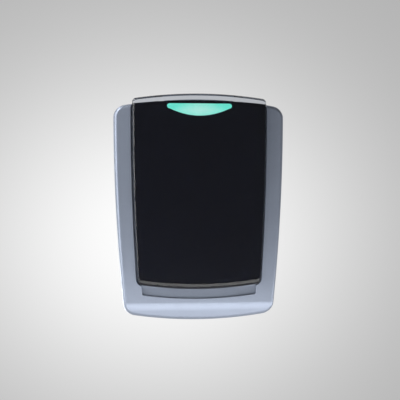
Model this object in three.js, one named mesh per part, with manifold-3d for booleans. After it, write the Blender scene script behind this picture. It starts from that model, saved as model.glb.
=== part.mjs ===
// A wall-mounted proximity card reader: a silver housing screwed to a rear cover, with the circuit board and
// its antenna inside, and a glossy black front cover that tilts out on two hinge pins at the top.
//
// Millimetres. X is to the right, Z is up and the front faces -Y. The origin is on the wall face, y = 0.
// "Depth" is the distance in front of the wall, so a depth d lies at y = -d.

import * as THREE from "three";
import { mergeVertices } from "three/addons/utils/BufferGeometryUtils.js";
import Module from "manifold-3d";

const wasm = await Module();
wasm.setup();

// ---- Clearances ----
const SEAT = 0.25; // between two pieces that rest on each other
const FIT = 0.3; // around a piece that sits inside another
const RUNNING = 0.3; // around a pin or a plunger that moves
const OVERCUT = 1; // how far a cutter runs past the face it cuts

// ---- Outlines in the X-Z plane: centre heights, half width, and the radii of the four bowed sides ----
const HOUSING = {
  top: 54.2,
  bottom: -58,
  halfWidth: 42.9,
  widestAt: 45.6,
  sideRadius: 960,
  topRadius: 215,
  bottomRadius: 190,
  topCorner: 5.2,
  bottomCorner: 5,
};
const PANEL_RISE = 2.1; // how far the front cover stands above the housing's top edge
const PANEL_FOOT = 17; // from the housing's bottom edge up to the front cover's
const PANEL_MARGIN = 9.5; // the width of the housing's border at each side of the front cover
const PANEL = {
  top: HOUSING.top + PANEL_RISE,
  bottom: HOUSING.bottom + PANEL_FOOT,
  halfWidth: HOUSING.halfWidth - PANEL_MARGIN,
  widestAt: 45,
  sideRadius: 1300,
  topRadius: 215,
  bottomRadius: 196,
  topCorner: 1.8,
  bottomCorner: 1.8,
};
const CLEAR_RIM = 3.5; // the lens's top edge stays clear down to the mask
const MASK_TOP = PANEL.top - CLEAR_RIM;
const MASK_TOP_RADIUS = 320;
const LEAST_CORNER = 0.5;

// ---- Depths, from the wall to the front ----
const GASKET = 1;
const REAR_COVER = 2;
const SEAL = 0.8;
const UNDER_BOARD = 2.95; // from the rear cover to the circuit board
const BOARD = 1.6;
const OVER_BOARD = 3.6; // from the circuit board to the pocket floor
const FLOOR = 2; // the pocket floor behind the front cover
const POCKET_DEPTH = 3.6; // from the housing's front face back to the pocket floor
const SKIN = 2.2;
const COVER_GAP = 0.8; // between the pocket floor and the front cover
const CARRIER_FLOOR = 1.4;
const CARRIER = 3.8; // the front cover's tray
const MASK = 0.3;
const LENS = 1.8;

const REAR_COVER_BACK = GASKET + SEAT;
const REAR_COVER_FRONT = REAR_COVER_BACK + REAR_COVER;
const SEAL_BACK = REAR_COVER_FRONT + SEAT;
const SEAL_FRONT = SEAL_BACK + SEAL;
const LEDGE = SEAL_FRONT + SEAT;
const BOARD_BACK = REAR_COVER_FRONT + UNDER_BOARD;
const BOARD_FRONT = BOARD_BACK + BOARD;
const ON_BOARD = BOARD_FRONT + SEAT;
const FLOOR_BACK = BOARD_FRONT + OVER_BOARD;
const FLOOR_FRONT = FLOOR_BACK + FLOOR;
const FACE = FLOOR_FRONT + POCKET_DEPTH; // the housing's front face
const CARRIER_BACK = FLOOR_FRONT + COVER_GAP;
const TRAY_FLOOR = CARRIER_BACK + CARRIER_FLOOR;
const CARRIER_FRONT = CARRIER_BACK + CARRIER;
const MASK_BACK = CARRIER_FRONT + SEAT;
const MASK_FRONT = MASK_BACK + MASK;
const LENS_BACK = MASK_FRONT + SEAT;
const LENS_FRONT = LENS_BACK + LENS;

// ---- Walls and edges ----
const WALL = 3;
const RIM = 1.5; // the housing's thin rear rim, which the rear cover sits inside
const FACE_BEVEL = 2;
const SLOPE_HEIGHT = 7.8; // the band along the bottom edge where the housing's face slopes back
const SLOPE_STARTS = HOUSING.bottom + SLOPE_HEIGHT;
const SLOPE_DROP = 4.2; // how much depth the slope loses by the bottom edge
const POCKET_GAP = 0.6;
const POCKET_WALL = 2;
const POCKET_OPENING = 20; // how far the pocket's cutter runs up past the front cover's top edge
const LENS_BEVEL = 1.2;
const CARRIER_INSET = 0.15;
const CARRIER_WALL = 1.4;
const MASK_INSET = 1.2;
const MASK_FOOT = 2.7; // the lens's clear rim below the mask

// ---- Finger recess below the front cover ----
const RECESS = { sideInset: 1.6, height: 5.4, depth: 1.4, corner: 0.8 };
const RECESS_BACKING = 2;

// ---- Indicator window ----
const WINDOW_DROP = 1.2; // from the mask's top edge to the window
const WINDOW_HEIGHT = 6.3;
const WINDOW = {
  halfWidth: 16.3,
  top: MASK_TOP - WINDOW_DROP,
  bottom: MASK_TOP - WINDOW_DROP - WINDOW_HEIGHT,
  endRadius: 1.4,
};
const WINDOW_GAP = 0.15;
const GUIDE_MARGIN = 0.2;

// ---- Wall screws: single-gang box spacing ----
const WALL_SCREW_SPACING = 83.3;
const WALL_SCREW_TOP = 46.65;
const WALL_SCREW = { hole: 2.2, headHole: 3.8, sink: 2.7, boss: 5.2, slotTravel: 1.5 };
const WALL_SCREW_HEIGHTS = [WALL_SCREW_TOP, WALL_SCREW_TOP - WALL_SCREW_SPACING];

// ---- Light path from the board to the window, just below the upper wall screw's boss ----
const PIPE = { radius: 3.5, flangeRadius: 4.7, flange: 0.8, proud: 0.5, clearance: 1.25 };
const LIGHT_HEIGHT = WALL_SCREW_TOP - WALL_SCREW.boss - PIPE.flangeRadius - PIPE.clearance;
const LED = { width: 2.4, height: 2, depth: 1.1, spacing: 3.2, lensShare: 0.75, baseShare: 0.6 };
const GUIDE_NECK = 4.6; // the radius of the light guide's round foot over the pipe

// ---- Hinge of the front cover ----
const KNUCKLE = { width: 4.2, radius: 2.1, mouth: 1.5, neck: 3.4 };
const HINGE_EDGE = 1.1; // from the knuckle up to the housing's top edge
const HINGE_SINK = 1.2; // how far the hinge axis lies behind the pocket floor
const HINGE = {
  x: 20,
  z: HOUSING.top - HINGE_EDGE - KNUCKLE.radius,
  depth: FLOOR_FRONT - HINGE_SINK,
  pinRadius: 0.9,
  pinLength: 9,
};
const NOTCH_CLEARANCE = 0.45;
const HINGE_CHEEK = 4;
const RELIEF = { drop: 1.8, depth: 1.2 }; // the chamfer that lets the cover's top swing back

// ---- Snap prongs at the foot of the front cover ----
const PRONG_RISE = 8; // from the front cover's bottom edge up to its prongs
const PRONG = {
  x: 25,
  z: PANEL.bottom + PRONG_RISE,
  width: 4,
  thickness: 1.6,
  reach: 3.4,
  barb: 0.25,
  barbLength: 1,
};
const PRONG_CLEARANCE = 0.7;

// ---- Screw heads, as shares of the head's radius and height ----
const HEAD = { crown: 0.8, shoulder: 0.4, slotLength: 1.1, slotWidth: 0.28, slotDepth: 0.55 };

// ---- Rear screws, which clamp the rear cover to the housing ----
const REAR_SCREW = { radius: 1.1, headRadius: 2.5, head: 1, sink: 1.3, length: 6.7, boss: 3.2 };
const GASKET_SCREW_HOLE = REAR_SCREW.headRadius + 2 * FIT;
const REAR_SCREW_BACK = REAR_COVER_BACK + REAR_SCREW.sink - SEAT - REAR_SCREW.head;
const REAR_SCREW_TIP = REAR_SCREW_BACK + REAR_SCREW.head + REAR_SCREW.length;
// From the housing's edges to the rear screws.
const REAR_SCREW_INSET = { upperSide: 7.2, top: 11.2, lowerSide: 14.2, bottom: 11 };
const REAR_SCREWS = [
  [HOUSING.halfWidth - REAR_SCREW_INSET.upperSide, HOUSING.top - REAR_SCREW_INSET.top],
  [HOUSING.halfWidth - REAR_SCREW_INSET.lowerSide, HOUSING.bottom + REAR_SCREW_INSET.bottom],
].flatMap(([x, z]) => [
  [x, z],
  [-x, z],
]);

// ---- Circuit board ----
const BOARD_MARGIN = { side: 8.9, light: 3.5, wallScrew: 3.65 };
const BOARD_EDGE = {
  halfWidth: HOUSING.halfWidth - BOARD_MARGIN.side,
  top: LIGHT_HEIGHT + BOARD_MARGIN.light,
  bottom: WALL_SCREW_HEIGHTS[1] + BOARD_MARGIN.wallScrew,
  corner: 2,
};
const BOARD_SCREW = { radius: 1, headRadius: 2, head: 1.3, length: 4.05, post: 2.4 };
const BOARD_SCREW_BACK = BOARD_BACK - SEAT - BOARD_SCREW.head;
const BOARD_SCREW_TIP = BOARD_SCREW_BACK + BOARD_SCREW.head + BOARD_SCREW.length;
const BOARD_SCREW_INSET = { side: 2.7, end: 6 };
const BOARD_SCREW_X = BOARD_EDGE.halfWidth - BOARD_SCREW_INSET.side;
const BOARD_SCREWS = [
  BOARD_EDGE.top - BOARD_SCREW_INSET.end,
  BOARD_EDGE.bottom + BOARD_SCREW_INSET.end,
].flatMap((z) => [
  [BOARD_SCREW_X, z],
  [-BOARD_SCREW_X, z],
]);

// ---- Tamper plunger ----
const SWITCH = { size: 4.4, height: 2.2, gap: 0.4, lever: 0.3, leverWidth: 1.6 };
const PLUNGER_RISE = 4.5; // from the board's bottom edge
const TAIL_ROOM = 1.95; // from the rear cover to the plunger's tail
const PLUNGER = {
  x: -16,
  z: BOARD_EDGE.bottom + PLUNGER_RISE,
  radius: 1.5,
  tip: 0.3,
  flangeBack: ON_BOARD + SWITCH.lever + SEAT,
  flange: 0.8,
  flangeRadius: 3,
  tailRadius: 1.1,
  tail: REAR_COVER_FRONT + TAIL_ROOM,
};
const SPRING = { radius: 1.85, wire: 0.22, turns: 5, stepsPerTurn: 10 };
const SPRING_CUP = { wall: 0.7, height: 1.3 };
const BOARD_HOLE = 3.3;

// ---- Antenna ----
const COIL_CLEARANCE = { post: 0.9, pipe: 0.6, plunger: 2 };
const COIL_FORMER = {
  halfWidth: BOARD_SCREW_X - BOARD_SCREW.post - COIL_CLEARANCE.post,
  top: LIGHT_HEIGHT - PIPE.flangeRadius - COIL_CLEARANCE.pipe,
  bottom: PLUNGER.z + PLUNGER.flangeRadius + COIL_CLEARANCE.plunger,
  corner: 7,
  width: 5,
  headroom: 0.4,
};
const COIL_GROOVE = 3;
const COIL_FLANGE = 0.7;

// ---- Parts on the front of the board ----
const LEAD_PLATE = 0.3; // the thickness of a package's leads
const READER_CHIP = { x: 9, z: 15, size: 7, lead: 1, height: 1.2 };
const CONTROLLER_CHIP = { x: -9, z: 11, size: 9, lead: 1, height: 1.4 };
const CRYSTAL = { x: 9, z: 5, length: 11, width: 4.6, height: 2.9, brim: 0.4, brimHeight: 0.5 };
const REGULATOR = { x: -12, z: -8, width: 6.5, length: 6, height: 2.3, legWidth: 0.9, legReach: 2.1 };
const CAPACITOR = { x: -1.5, z: -9, radius: 2.5, height: 2.9, brim: 0.2, brimHeight: 0.7 };
const BUZZER = { x: 12, z: -9, radius: 6, height: 2.8, port: 1 };

// ---- Wiring window and terminal block ----
const TERMINALS = { count: 6, pitch: 3.5, margin: 0.8, top: -6.6, height: 8, depth: 4.3 };
const TERMINAL_SCREW = {
  radius: 1.15,
  well: 1.45,
  sink: 0.5,
  length: 2,
  fromTop: 2.8,
  slot: 0.5,
  slotDepth: 0.6,
};
const TERMINAL_ENTRY = { width: 2.3, depth: 2.2, length: 4, fromBack: 1 };
const WIRING_ROOM = { side: 2.7, top: 1.6, bottom: 10.4 }; // from the terminal block to the window's edges
const WIRING = {
  halfWidth: (TERMINALS.count * TERMINALS.pitch) / 2 + TERMINALS.margin + WIRING_ROOM.side,
  top: TERMINALS.top + WIRING_ROOM.top,
  bottom: TERMINALS.top - TERMINALS.height - WIRING_ROOM.bottom,
  corner: 2,
  frame: 1.2,
};

// ---- Colours ----
const FINISH = {
  silver: { color: 0x9ba3b4, roughness: 0.38, metalness: 0.55 },
  blackGloss: { color: 0x1a1b20, roughness: 0.15, metalness: 0 },
  clear: { color: 0xe4e9ee, roughness: 0.05, metalness: 0 },
  mint: { color: 0x74ead6, roughness: 0.4, metalness: 0 },
  darkPlastic: { color: 0x2c2e33, roughness: 0.6, metalness: 0 },
  palePlastic: { color: 0xd9d6cc, roughness: 0.5, metalness: 0 },
  foam: { color: 0x1d1e20, roughness: 0.95, metalness: 0 },
  rubber: { color: 0x222326, roughness: 0.8, metalness: 0 },
  steel: { color: 0xb8bcc2, roughness: 0.3, metalness: 1 },
  copper: { color: 0xb4663a, roughness: 0.35, metalness: 1 },
  board: { color: 0x1f6b45, roughness: 0.5, metalness: 0 },
  chip: { color: 0x17181a, roughness: 0.55, metalness: 0 },
  terminalGreen: { color: 0x2f8f5b, roughness: 0.45, metalness: 0 },
  ledGreen: { color: 0x63e08a, roughness: 0.3, metalness: 0 },
  ledRed: { color: 0xd8453a, roughness: 0.3, metalness: 0 },
};

// ---------------------------------------------------------------- geometry helpers

// A three.js geometry as a solid that can be joined and cut.
function solidOf(geometry) {
  const bare = geometry.clone();
  bare.deleteAttribute("normal");
  bare.deleteAttribute("uv");
  const merged = mergeVertices(bare, 1e-4);
  return new wasm.Manifold(
    new wasm.Mesh({
      numProp: 3,
      vertProperties: merged.attributes.position.array,
      triVerts: new Uint32Array(merged.index.array),
    }),
  );
}

// A solid as a three.js geometry.
function geometryOf(solid) {
  const mesh = solid.getMesh();
  const geometry = new THREE.BufferGeometry();
  geometry.setAttribute("position", new THREE.BufferAttribute(mesh.vertProperties, mesh.numProp));
  geometry.setIndex(new THREE.BufferAttribute(mesh.triVerts, 1));
  geometry.computeVertexNormals();
  return geometry;
}

const joined = (...solids) => solids.reduce((sum, next) => sum.add(next));
const cut = (solid, ...cutters) => cutters.reduce((rest, cutter) => rest.subtract(cutter), solid);

// Turns a shape's extrusion so that it lies in the X-Z plane and grows from the wall to the front.
const stood = (geometry, back) => geometry.translate(0, 0, back).rotateX(Math.PI / 2);

// A plate with the given outline between two depths.
function plate(outline, back, front) {
  const options = { depth: front - back, bevelEnabled: false, curveSegments: 8 };
  return solidOf(stood(new THREE.ExtrudeGeometry(new THREE.Shape(outline), options), back));
}

// A plate whose front edge is rounded off over the given bevel.
function bevelledPlate(outline, back, front, bevel, segments) {
  const spare = 2 * bevel + OVERCUT;
  const options = {
    depth: front - bevel - (back - spare),
    bevelEnabled: true,
    bevelThickness: bevel,
    bevelSize: bevel,
    bevelOffset: -bevel,
    bevelSegments: segments,
  };
  const shape = new THREE.Shape(outline);
  const whole = solidOf(stood(new THREE.ExtrudeGeometry(shape, options), back - spare));
  const reach = 4 * (HOUSING.halfWidth + HOUSING.top);
  return whole.subtract(block(0, reach, 0, reach, back - 2 * spare - OVERCUT, back));
}

// A box centred on (x, z), between two depths.
function block(x, width, z, height, back, front) {
  const geometry = new THREE.BoxGeometry(width, front - back, height);
  return solidOf(geometry.translate(x, -(front + back) / 2, z));
}

// A round bar standing along the depth, centred on (x, z).
function rod(x, z, radius, back, front, segments = 20) {
  const geometry = new THREE.CylinderGeometry(radius, radius, front - back, segments);
  return solidOf(geometry.translate(x, -(front + back) / 2, z));
}

// A round bar along X through the hinge axis.
function crossRod(x, radius, length, segments = 20) {
  const geometry = new THREE.CylinderGeometry(radius, radius, length, segments);
  return solidOf(geometry.rotateZ(Math.PI / 2).translate(x, -HINGE.depth, HINGE.z));
}

// A turned piece along the depth: the profile is a list of [radius, depth] that starts and ends on the axis.
function turned(x, z, profile, segments = 20) {
  const points = profile.map(([radius, depth]) => new THREE.Vector2(radius, depth));
  const geometry = new THREE.LatheGeometry(points, segments).rotateX(Math.PI);
  return solidOf(geometry.translate(x, 0, z));
}

const towards = (a, b, share) => [a[0] + (b[0] - a[0]) * share, a[1] + (b[1] - a[1]) * share];

// The quarter turn between two sides that meet at a corner.
function cornerPoints(start, corner, end, steps = 4) {
  const handle = 0.5523;
  const curve = new THREE.CubicBezierCurve(
    new THREE.Vector2(...start),
    new THREE.Vector2(...towards(start, corner, handle)),
    new THREE.Vector2(...towards(end, corner, handle)),
    new THREE.Vector2(...end),
  );
  return curve.getPoints(steps).map((point) => [point.x, point.y]);
}

// The right half of an outline, then its mirror image, as one closed loop that runs anticlockwise.
function mirrored(half) {
  const right = half.map(([x, z]) => new THREE.Vector2(x, z));
  const left = half.filter(([x]) => x > 1e-6).reverse();
  return [...right, ...left.map(([x, z]) => new THREE.Vector2(-x, z))];
}

// A tapered outline with four bowed sides, drawn in by inset.
function tapered(spec, inset = 0) {
  const sideRadius = spec.sideRadius - inset;
  const topRadius = spec.topRadius - inset;
  const bottomRadius = spec.bottomRadius - inset;
  const bow = (radius, distance) => radius - Math.sqrt(radius * radius - distance * distance);
  const side = (z) => spec.halfWidth - inset - bow(sideRadius, z - spec.widestAt);
  const top = (x) => spec.top - inset - bow(topRadius, x);
  const bottom = (x) => spec.bottom + inset + bow(bottomRadius, x);
  const meeting = (edge) => {
    let corner = [side(edge(0)), edge(0)];
    for (let tries = 0; tries < 12; tries += 1) corner = [side(corner[1]), edge(corner[0])];
    return corner;
  };
  const upper = meeting(top);
  const lower = meeting(bottom);
  const topCorner = Math.max(spec.topCorner - inset, LEAST_CORNER);
  const bottomCorner = Math.max(spec.bottomCorner - inset, LEAST_CORNER);
  const steps = 5;
  const half = [];
  for (let i = 0; i < steps; i += 1) {
    const x = ((lower[0] - bottomCorner) * i) / steps;
    half.push([x, bottom(x)]);
  }
  const lowStart = [lower[0] - bottomCorner, bottom(lower[0] - bottomCorner)];
  const lowEnd = [side(lower[1] + bottomCorner), lower[1] + bottomCorner];
  half.push(...cornerPoints(lowStart, lower, lowEnd));
  const highStart = [side(upper[1] - topCorner), upper[1] - topCorner];
  for (let i = 1; i < steps; i += 1) {
    const z = lowEnd[1] + ((highStart[1] - lowEnd[1]) * i) / steps;
    half.push([side(z), z]);
  }
  const highEnd = [upper[0] - topCorner, top(upper[0] - topCorner)];
  half.push(...cornerPoints(highStart, upper, highEnd));
  for (let i = steps - 1; i >= 0; i -= 1) {
    const x = (highEnd[0] * i) / steps;
    half.push([x, top(x)]);
  }
  return mirrored(half);
}

// A rectangle with rounded corners, drawn in by inset.
function rounded({ halfWidth, top, bottom, corner }, inset = 0, steps = 3) {
  const [x, high, low] = [halfWidth - inset, top - inset, bottom + inset];
  const radius = Math.max(corner - inset, LEAST_CORNER);
  return mirrored([
    [0, low],
    ...cornerPoints([x - radius, low], [x, low], [x, low + radius], steps),
    ...cornerPoints([x, high - radius], [x, high], [x - radius, high], steps),
    [0, high],
  ]);
}

// The window's outline: a flat top, a bowed lower edge and rounded ends, drawn in by inset.
function smile(inset = 0) {
  const top = WINDOW.top - inset;
  const bottom = WINDOW.bottom + inset;
  const endRadius = WINDOW.endRadius - inset;
  const endHeight = top - 2 * endRadius;
  const endX = WINDOW.halfWidth - WINDOW.endRadius;
  const rise = endHeight - bottom;
  const half = [];
  const steps = 8;
  for (let i = 0; i < steps; i += 1) {
    const share = i / steps;
    half.push([endX * share, bottom + rise * share * share]);
  }
  const tipSteps = 6;
  for (let i = 0; i <= tipSteps; i += 1) {
    const turn = -Math.PI / 2 + (Math.PI * i) / tipSteps;
    half.push([endX + endRadius * Math.cos(turn), top - endRadius + endRadius * Math.sin(turn)]);
  }
  half.push([0, top]);
  return mirrored(half);
}

// ---------------------------------------------------------------- outlines used by more than one piece

const pocketOpening = { ...PANEL, top: PANEL.top + POCKET_OPENING };
const recessEdge = {
  ...PANEL,
  halfWidth: PANEL.halfWidth - RECESS.sideInset,
  bottom: PANEL.bottom - RECESS.height,
  bottomCorner: RECESS.corner,
};
const carrierEdge = { ...PANEL, top: MASK_TOP + CARRIER_INSET, topRadius: MASK_TOP_RADIUS };
const wallScrewHoles = (radius, back, front) =>
  WALL_SCREW_HEIGHTS.map((z) => rod(0, z, radius, back, front));

// Everything in front of the sloping lower band, moved back into the housing by a wall's thickness.
function slopeCutter(wall) {
  const length = SLOPE_STARTS - HOUSING.bottom;
  const angle = Math.atan2(SLOPE_DROP, length);
  const reach = 3 * HOUSING.halfWidth;
  const geometry = new THREE.BoxGeometry(reach, reach, reach);
  geometry.translate(0, -reach / 2 + wall, 0);
  geometry.rotateX(angle);
  return solidOf(geometry.translate(0, -FACE, SLOPE_STARTS));
}

// ---------------------------------------------------------------- the housing

function housing() {
  const outside = bevelledPlate(tapered(HOUSING), REAR_COVER_BACK, FACE, FACE_BEVEL, 2);
  const outer = outside.subtract(slopeCutter(0));
  const inside = plate(tapered(HOUSING, WALL), LEDGE - OVERCUT, FACE - SKIN).subtract(slopeCutter(SKIN));
  const rabbet = plate(tapered(HOUSING, RIM), REAR_COVER_BACK - OVERCUT, LEDGE);

  const tub = plate(tapered(pocketOpening, -POCKET_GAP - POCKET_WALL), FLOOR_BACK, FACE);
  const recessBack = FACE - RECESS.depth;
  const recessBacking = plate(tapered(recessEdge, -RECESS_BACKING), recessBack - RECESS_BACKING, FACE);
  const hingeBlockWidth = KNUCKLE.width + 2 * HINGE_CHEEK;
  const hingeFoot = HINGE.z - KNUCKLE.radius - 2 * NOTCH_CLEARANCE;
  const hingeBack = HINGE.depth - KNUCKLE.radius - 2 * NOTCH_CLEARANCE;
  const hingeBlocks = [HINGE.x, -HINGE.x].map((x) =>
    block(
      x,
      hingeBlockWidth,
      (hingeFoot + HOUSING.top) / 2,
      HOUSING.top - hingeFoot,
      hingeBack,
      FLOOR_FRONT,
    ),
  );
  const screwBosses = [
    ...wallScrewHoles(WALL_SCREW.boss, REAR_COVER_FRONT + SEAT, FLOOR_FRONT),
    ...REAR_SCREWS.map(([x, z]) => rod(x, z, REAR_SCREW.boss, REAR_COVER_FRONT + SEAT, FACE - SKIN / 2)),
    ...BOARD_SCREWS.map(([x, z]) => rod(x, z, BOARD_SCREW.post, ON_BOARD, FLOOR_FRONT - FLOOR / 2)),
  ];
  const inner = joined(tub, recessBacking, ...hingeBlocks, ...screwBosses).intersect(outer);
  const sealRoom = rabbet.subtract(plate(tapered(HOUSING, WALL), 0, LEDGE + OVERCUT));
  const shell = cut(outer, inside, rabbet).add(inner.subtract(sealRoom));

  const pocket = plate(tapered(pocketOpening, -POCKET_GAP), FLOOR_FRONT, FACE + OVERCUT);
  const recess = plate(tapered(recessEdge), recessBack, FACE + OVERCUT);
  const reliefAngle = Math.atan2(RELIEF.depth, RELIEF.drop);
  const reliefReach = 2 * PANEL.halfWidth;
  const relief = solidOf(
    new THREE.BoxGeometry(reliefReach, reliefReach, reliefReach)
      .translate(0, -reliefReach / 2, 0)
      .rotateX(-reliefAngle)
      .translate(0, -FLOOR_FRONT, HOUSING.top - RELIEF.drop),
  );
  const reliefZone = plate(
    rounded({
      halfWidth: PANEL.halfWidth,
      top: PANEL.top + POCKET_WALL,
      bottom: HINGE.z,
      corner: LEAST_CORNER,
    }),
    FLOOR_BACK,
    FACE + OVERCUT,
  );
  const notches = [HINGE.x, -HINGE.x].map((x) =>
    block(
      x,
      KNUCKLE.width + 2 * NOTCH_CLEARANCE,
      (HINGE.z - KNUCKLE.radius - NOTCH_CLEARANCE + PANEL.top) / 2,
      PANEL.top - HINGE.z + KNUCKLE.radius + NOTCH_CLEARANCE,
      HINGE.depth - KNUCKLE.radius - NOTCH_CLEARANCE,
      FACE,
    ),
  );
  const pinBores = [HINGE.x, -HINGE.x].map((x) =>
    crossRod(x, HINGE.pinRadius + SEAT, HINGE.pinLength + 2 * SEAT),
  );
  const prongSlots = [PRONG.x, -PRONG.x].map((x) =>
    block(
      x,
      PRONG.width + 2 * PRONG_CLEARANCE,
      PRONG.z,
      PRONG.thickness + 2 * PRONG_CLEARANCE,
      FLOOR_BACK - OVERCUT,
      FACE,
    ),
  );
  const screwBores = [
    ...wallScrewHoles(WALL_SCREW.hole, 0, FACE),
    ...wallScrewHoles(WALL_SCREW.headHole, FLOOR_FRONT - WALL_SCREW.sink, FACE),
    ...REAR_SCREWS.map(([x, z]) => rod(x, z, REAR_SCREW.radius + FIT, 0, REAR_SCREW_TIP + OVERCUT, 12)),
    ...BOARD_SCREWS.map(([x, z]) => rod(x, z, BOARD_SCREW.radius + FIT, 0, BOARD_SCREW_TIP + FIT, 12)),
  ];
  const lightHole = rod(0, LIGHT_HEIGHT, PIPE.radius + FIT, FLOOR_BACK - OVERCUT, FACE);
  const plungerHole = rod(PLUNGER.x, PLUNGER.z, PLUNGER.radius + RUNNING, FLOOR_BACK - OVERCUT, FACE);
  return cut(
    shell,
    pocket,
    recess,
    relief.intersect(reliefZone),
    ...notches,
    ...pinBores,
    ...prongSlots,
    ...screwBores,
    lightHole,
    plungerHole,
  );
}

// ---------------------------------------------------------------- the back

function wallGasket() {
  const window = plate(rounded(WIRING, -OVERCUT), -OVERCUT, GASKET + OVERCUT);
  const sheet = plate(tapered(HOUSING, RIM), 0, GASKET);
  const screwHoles = REAR_SCREWS.map(([x, z]) => rod(x, z, GASKET_SCREW_HOLE, -OVERCUT, GASKET + OVERCUT));
  return cut(
    sheet,
    window,
    ...wallScrewHoles(WALL_SCREW.headHole, -OVERCUT, GASKET + OVERCUT),
    ...screwHoles,
  );
}

function rearCover() {
  const sheet = plate(tapered(HOUSING, RIM + FIT), REAR_COVER_BACK, REAR_COVER_FRONT);
  const frame = plate(rounded(WIRING, -WIRING.frame), REAR_COVER_BACK, BOARD_BACK - SEAT);
  const cup = rod(
    PLUNGER.x,
    PLUNGER.z,
    cupRadius() + SPRING_CUP.wall,
    REAR_COVER_BACK,
    REAR_COVER_FRONT + SPRING_CUP.height,
  );
  const window = plate(rounded(WIRING), 0, BOARD_BACK);
  const [topScrew, bottomScrew] = wallScrewHoles(WALL_SCREW.hole, 0, LEDGE);
  const lowSlot = block(0, 2 * WALL_SCREW.hole, WALL_SCREW_HEIGHTS[1], 2 * WALL_SCREW.slotTravel, 0, LEDGE);
  const slotEnds = [WALL_SCREW.slotTravel, -WALL_SCREW.slotTravel].map((shift) =>
    rod(0, WALL_SCREW_HEIGHTS[1] + shift, WALL_SCREW.hole, 0, LEDGE),
  );
  const cupHollow = rod(PLUNGER.x, PLUNGER.z, cupRadius(), REAR_COVER_FRONT, BOARD_BACK);
  const screwHoles = REAR_SCREWS.map(([x, z]) => rod(x, z, REAR_SCREW.radius + FIT, 0, LEDGE, 12));
  const screwHeads = REAR_SCREWS.map(([x, z]) =>
    rod(x, z, REAR_SCREW.headRadius + FIT, 0, REAR_COVER_BACK + REAR_SCREW.sink),
  );
  return cut(
    joined(sheet, frame, cup),
    window,
    topScrew,
    bottomScrew,
    lowSlot,
    ...slotEnds,
    cupHollow,
    ...screwHoles,
    ...screwHeads,
  );
}

function rearSeal() {
  const ring = plate(tapered(HOUSING, RIM + FIT), SEAL_BACK, SEAL_FRONT);
  return ring.subtract(plate(tapered(HOUSING, WALL - SEAT), SEAL_BACK - OVERCUT, SEAL_FRONT + OVERCUT));
}

// A pan-head screw driven from the back, with a cross slot.
function screw(x, z, size, headBack) {
  const headFront = headBack + size.head;
  const tip = headFront + size.length;
  const slotBottom = headBack + size.head * HEAD.slotDepth;
  const turnedPiece = turned(
    x,
    z,
    [
      [0, headBack],
      [size.headRadius * HEAD.crown, headBack],
      [size.headRadius, headBack + size.head * HEAD.shoulder],
      [size.headRadius, headFront],
      [size.radius, headFront],
      [size.radius, tip - size.radius],
      [0, tip],
    ],
    12,
  );
  const slotLength = size.headRadius * HEAD.slotLength;
  const slotWidth = size.headRadius * HEAD.slotWidth;
  return cut(
    turnedPiece,
    block(x, slotLength, z, slotWidth, headBack - OVERCUT, slotBottom),
    block(x, slotWidth, z, slotLength, headBack - OVERCUT, slotBottom),
  );
}

// ---------------------------------------------------------------- the electronics

function circuitBoard() {
  const sheet = plate(rounded(BOARD_EDGE), BOARD_BACK, BOARD_FRONT);
  const holes = BOARD_SCREWS.map(([x, z]) => rod(x, z, BOARD_SCREW.radius + FIT, 0, ON_BOARD, 12));
  const bossClearance = wallScrewHoles(WALL_SCREW.boss + 2 * FIT, 0, ON_BOARD);
  const springHole = rod(PLUNGER.x, PLUNGER.z, BOARD_HOLE, 0, ON_BOARD);
  return cut(sheet, ...holes, ...bossClearance, springHole);
}

// The former is a ring with a groove round its outside, and the winding lies in that groove.
function coilFormer() {
  const front = FLOOR_BACK - COIL_FORMER.headroom;
  const ring = plate(rounded(COIL_FORMER), ON_BOARD, front);
  const middle = plate(rounded(COIL_FORMER, COIL_FORMER.width), ON_BOARD - OVERCUT, front + OVERCUT);
  const grooveBack = ON_BOARD + COIL_FLANGE;
  const grooveFront = front - COIL_FLANGE;
  const around = plate(rounded(COIL_FORMER, -OVERCUT), grooveBack, grooveFront);
  const core = plate(rounded(COIL_FORMER, COIL_GROOVE), grooveBack, grooveFront);
  return cut(ring, middle, around.subtract(core));
}

function antennaCoil() {
  const back = ON_BOARD + COIL_FLANGE + SEAT;
  const front = FLOOR_BACK - COIL_FORMER.headroom - COIL_FLANGE - SEAT;
  const inner = plate(rounded(COIL_FORMER, COIL_GROOVE - SEAT), back - OVERCUT, front + OVERCUT);
  return plate(rounded(COIL_FORMER, SEAT), back, front).subtract(inner);
}

// A flat moulded package with its leads as a thin wider plate under it.
function chip({ x, z, size, lead, height }) {
  const body = block(x, size, z, size, ON_BOARD + LEAD_PLATE / 2, ON_BOARD + height);
  const span = size + 2 * lead;
  const row = size - lead;
  return joined(
    body,
    block(x, span, z, row, ON_BOARD, ON_BOARD + LEAD_PLATE),
    block(x, row, z, span, ON_BOARD, ON_BOARD + LEAD_PLATE),
  );
}

// A round-ended can on a thin brim.
function crystal({ x, z, length, width, height, brim, brimHeight }) {
  const corner = (width - LEAD_PLATE) / 2;
  const edge = { halfWidth: length / 2, top: width / 2, bottom: -width / 2, corner };
  const foot = plate(rounded(edge, -brim), ON_BOARD, ON_BOARD + brimHeight);
  return foot.add(plate(rounded(edge), ON_BOARD, ON_BOARD + height)).translate(x, 0, z);
}

// A power package with a heat tab above its body and two legs below it.
function regulator({ x, z, width, length, height, legWidth, legReach }) {
  const body = block(x, width, z, length, ON_BOARD, ON_BOARD + height);
  const low = ON_BOARD + 2 * LEAD_PLATE;
  const tab = block(x, width - legWidth, z + length / 2, legReach, ON_BOARD, low);
  const legs = [-width / 3, width / 3].map((shift) =>
    block(x + shift, legWidth, z - length / 2, 2 * legReach, ON_BOARD, low),
  );
  return joined(body, tab, ...legs);
}

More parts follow.
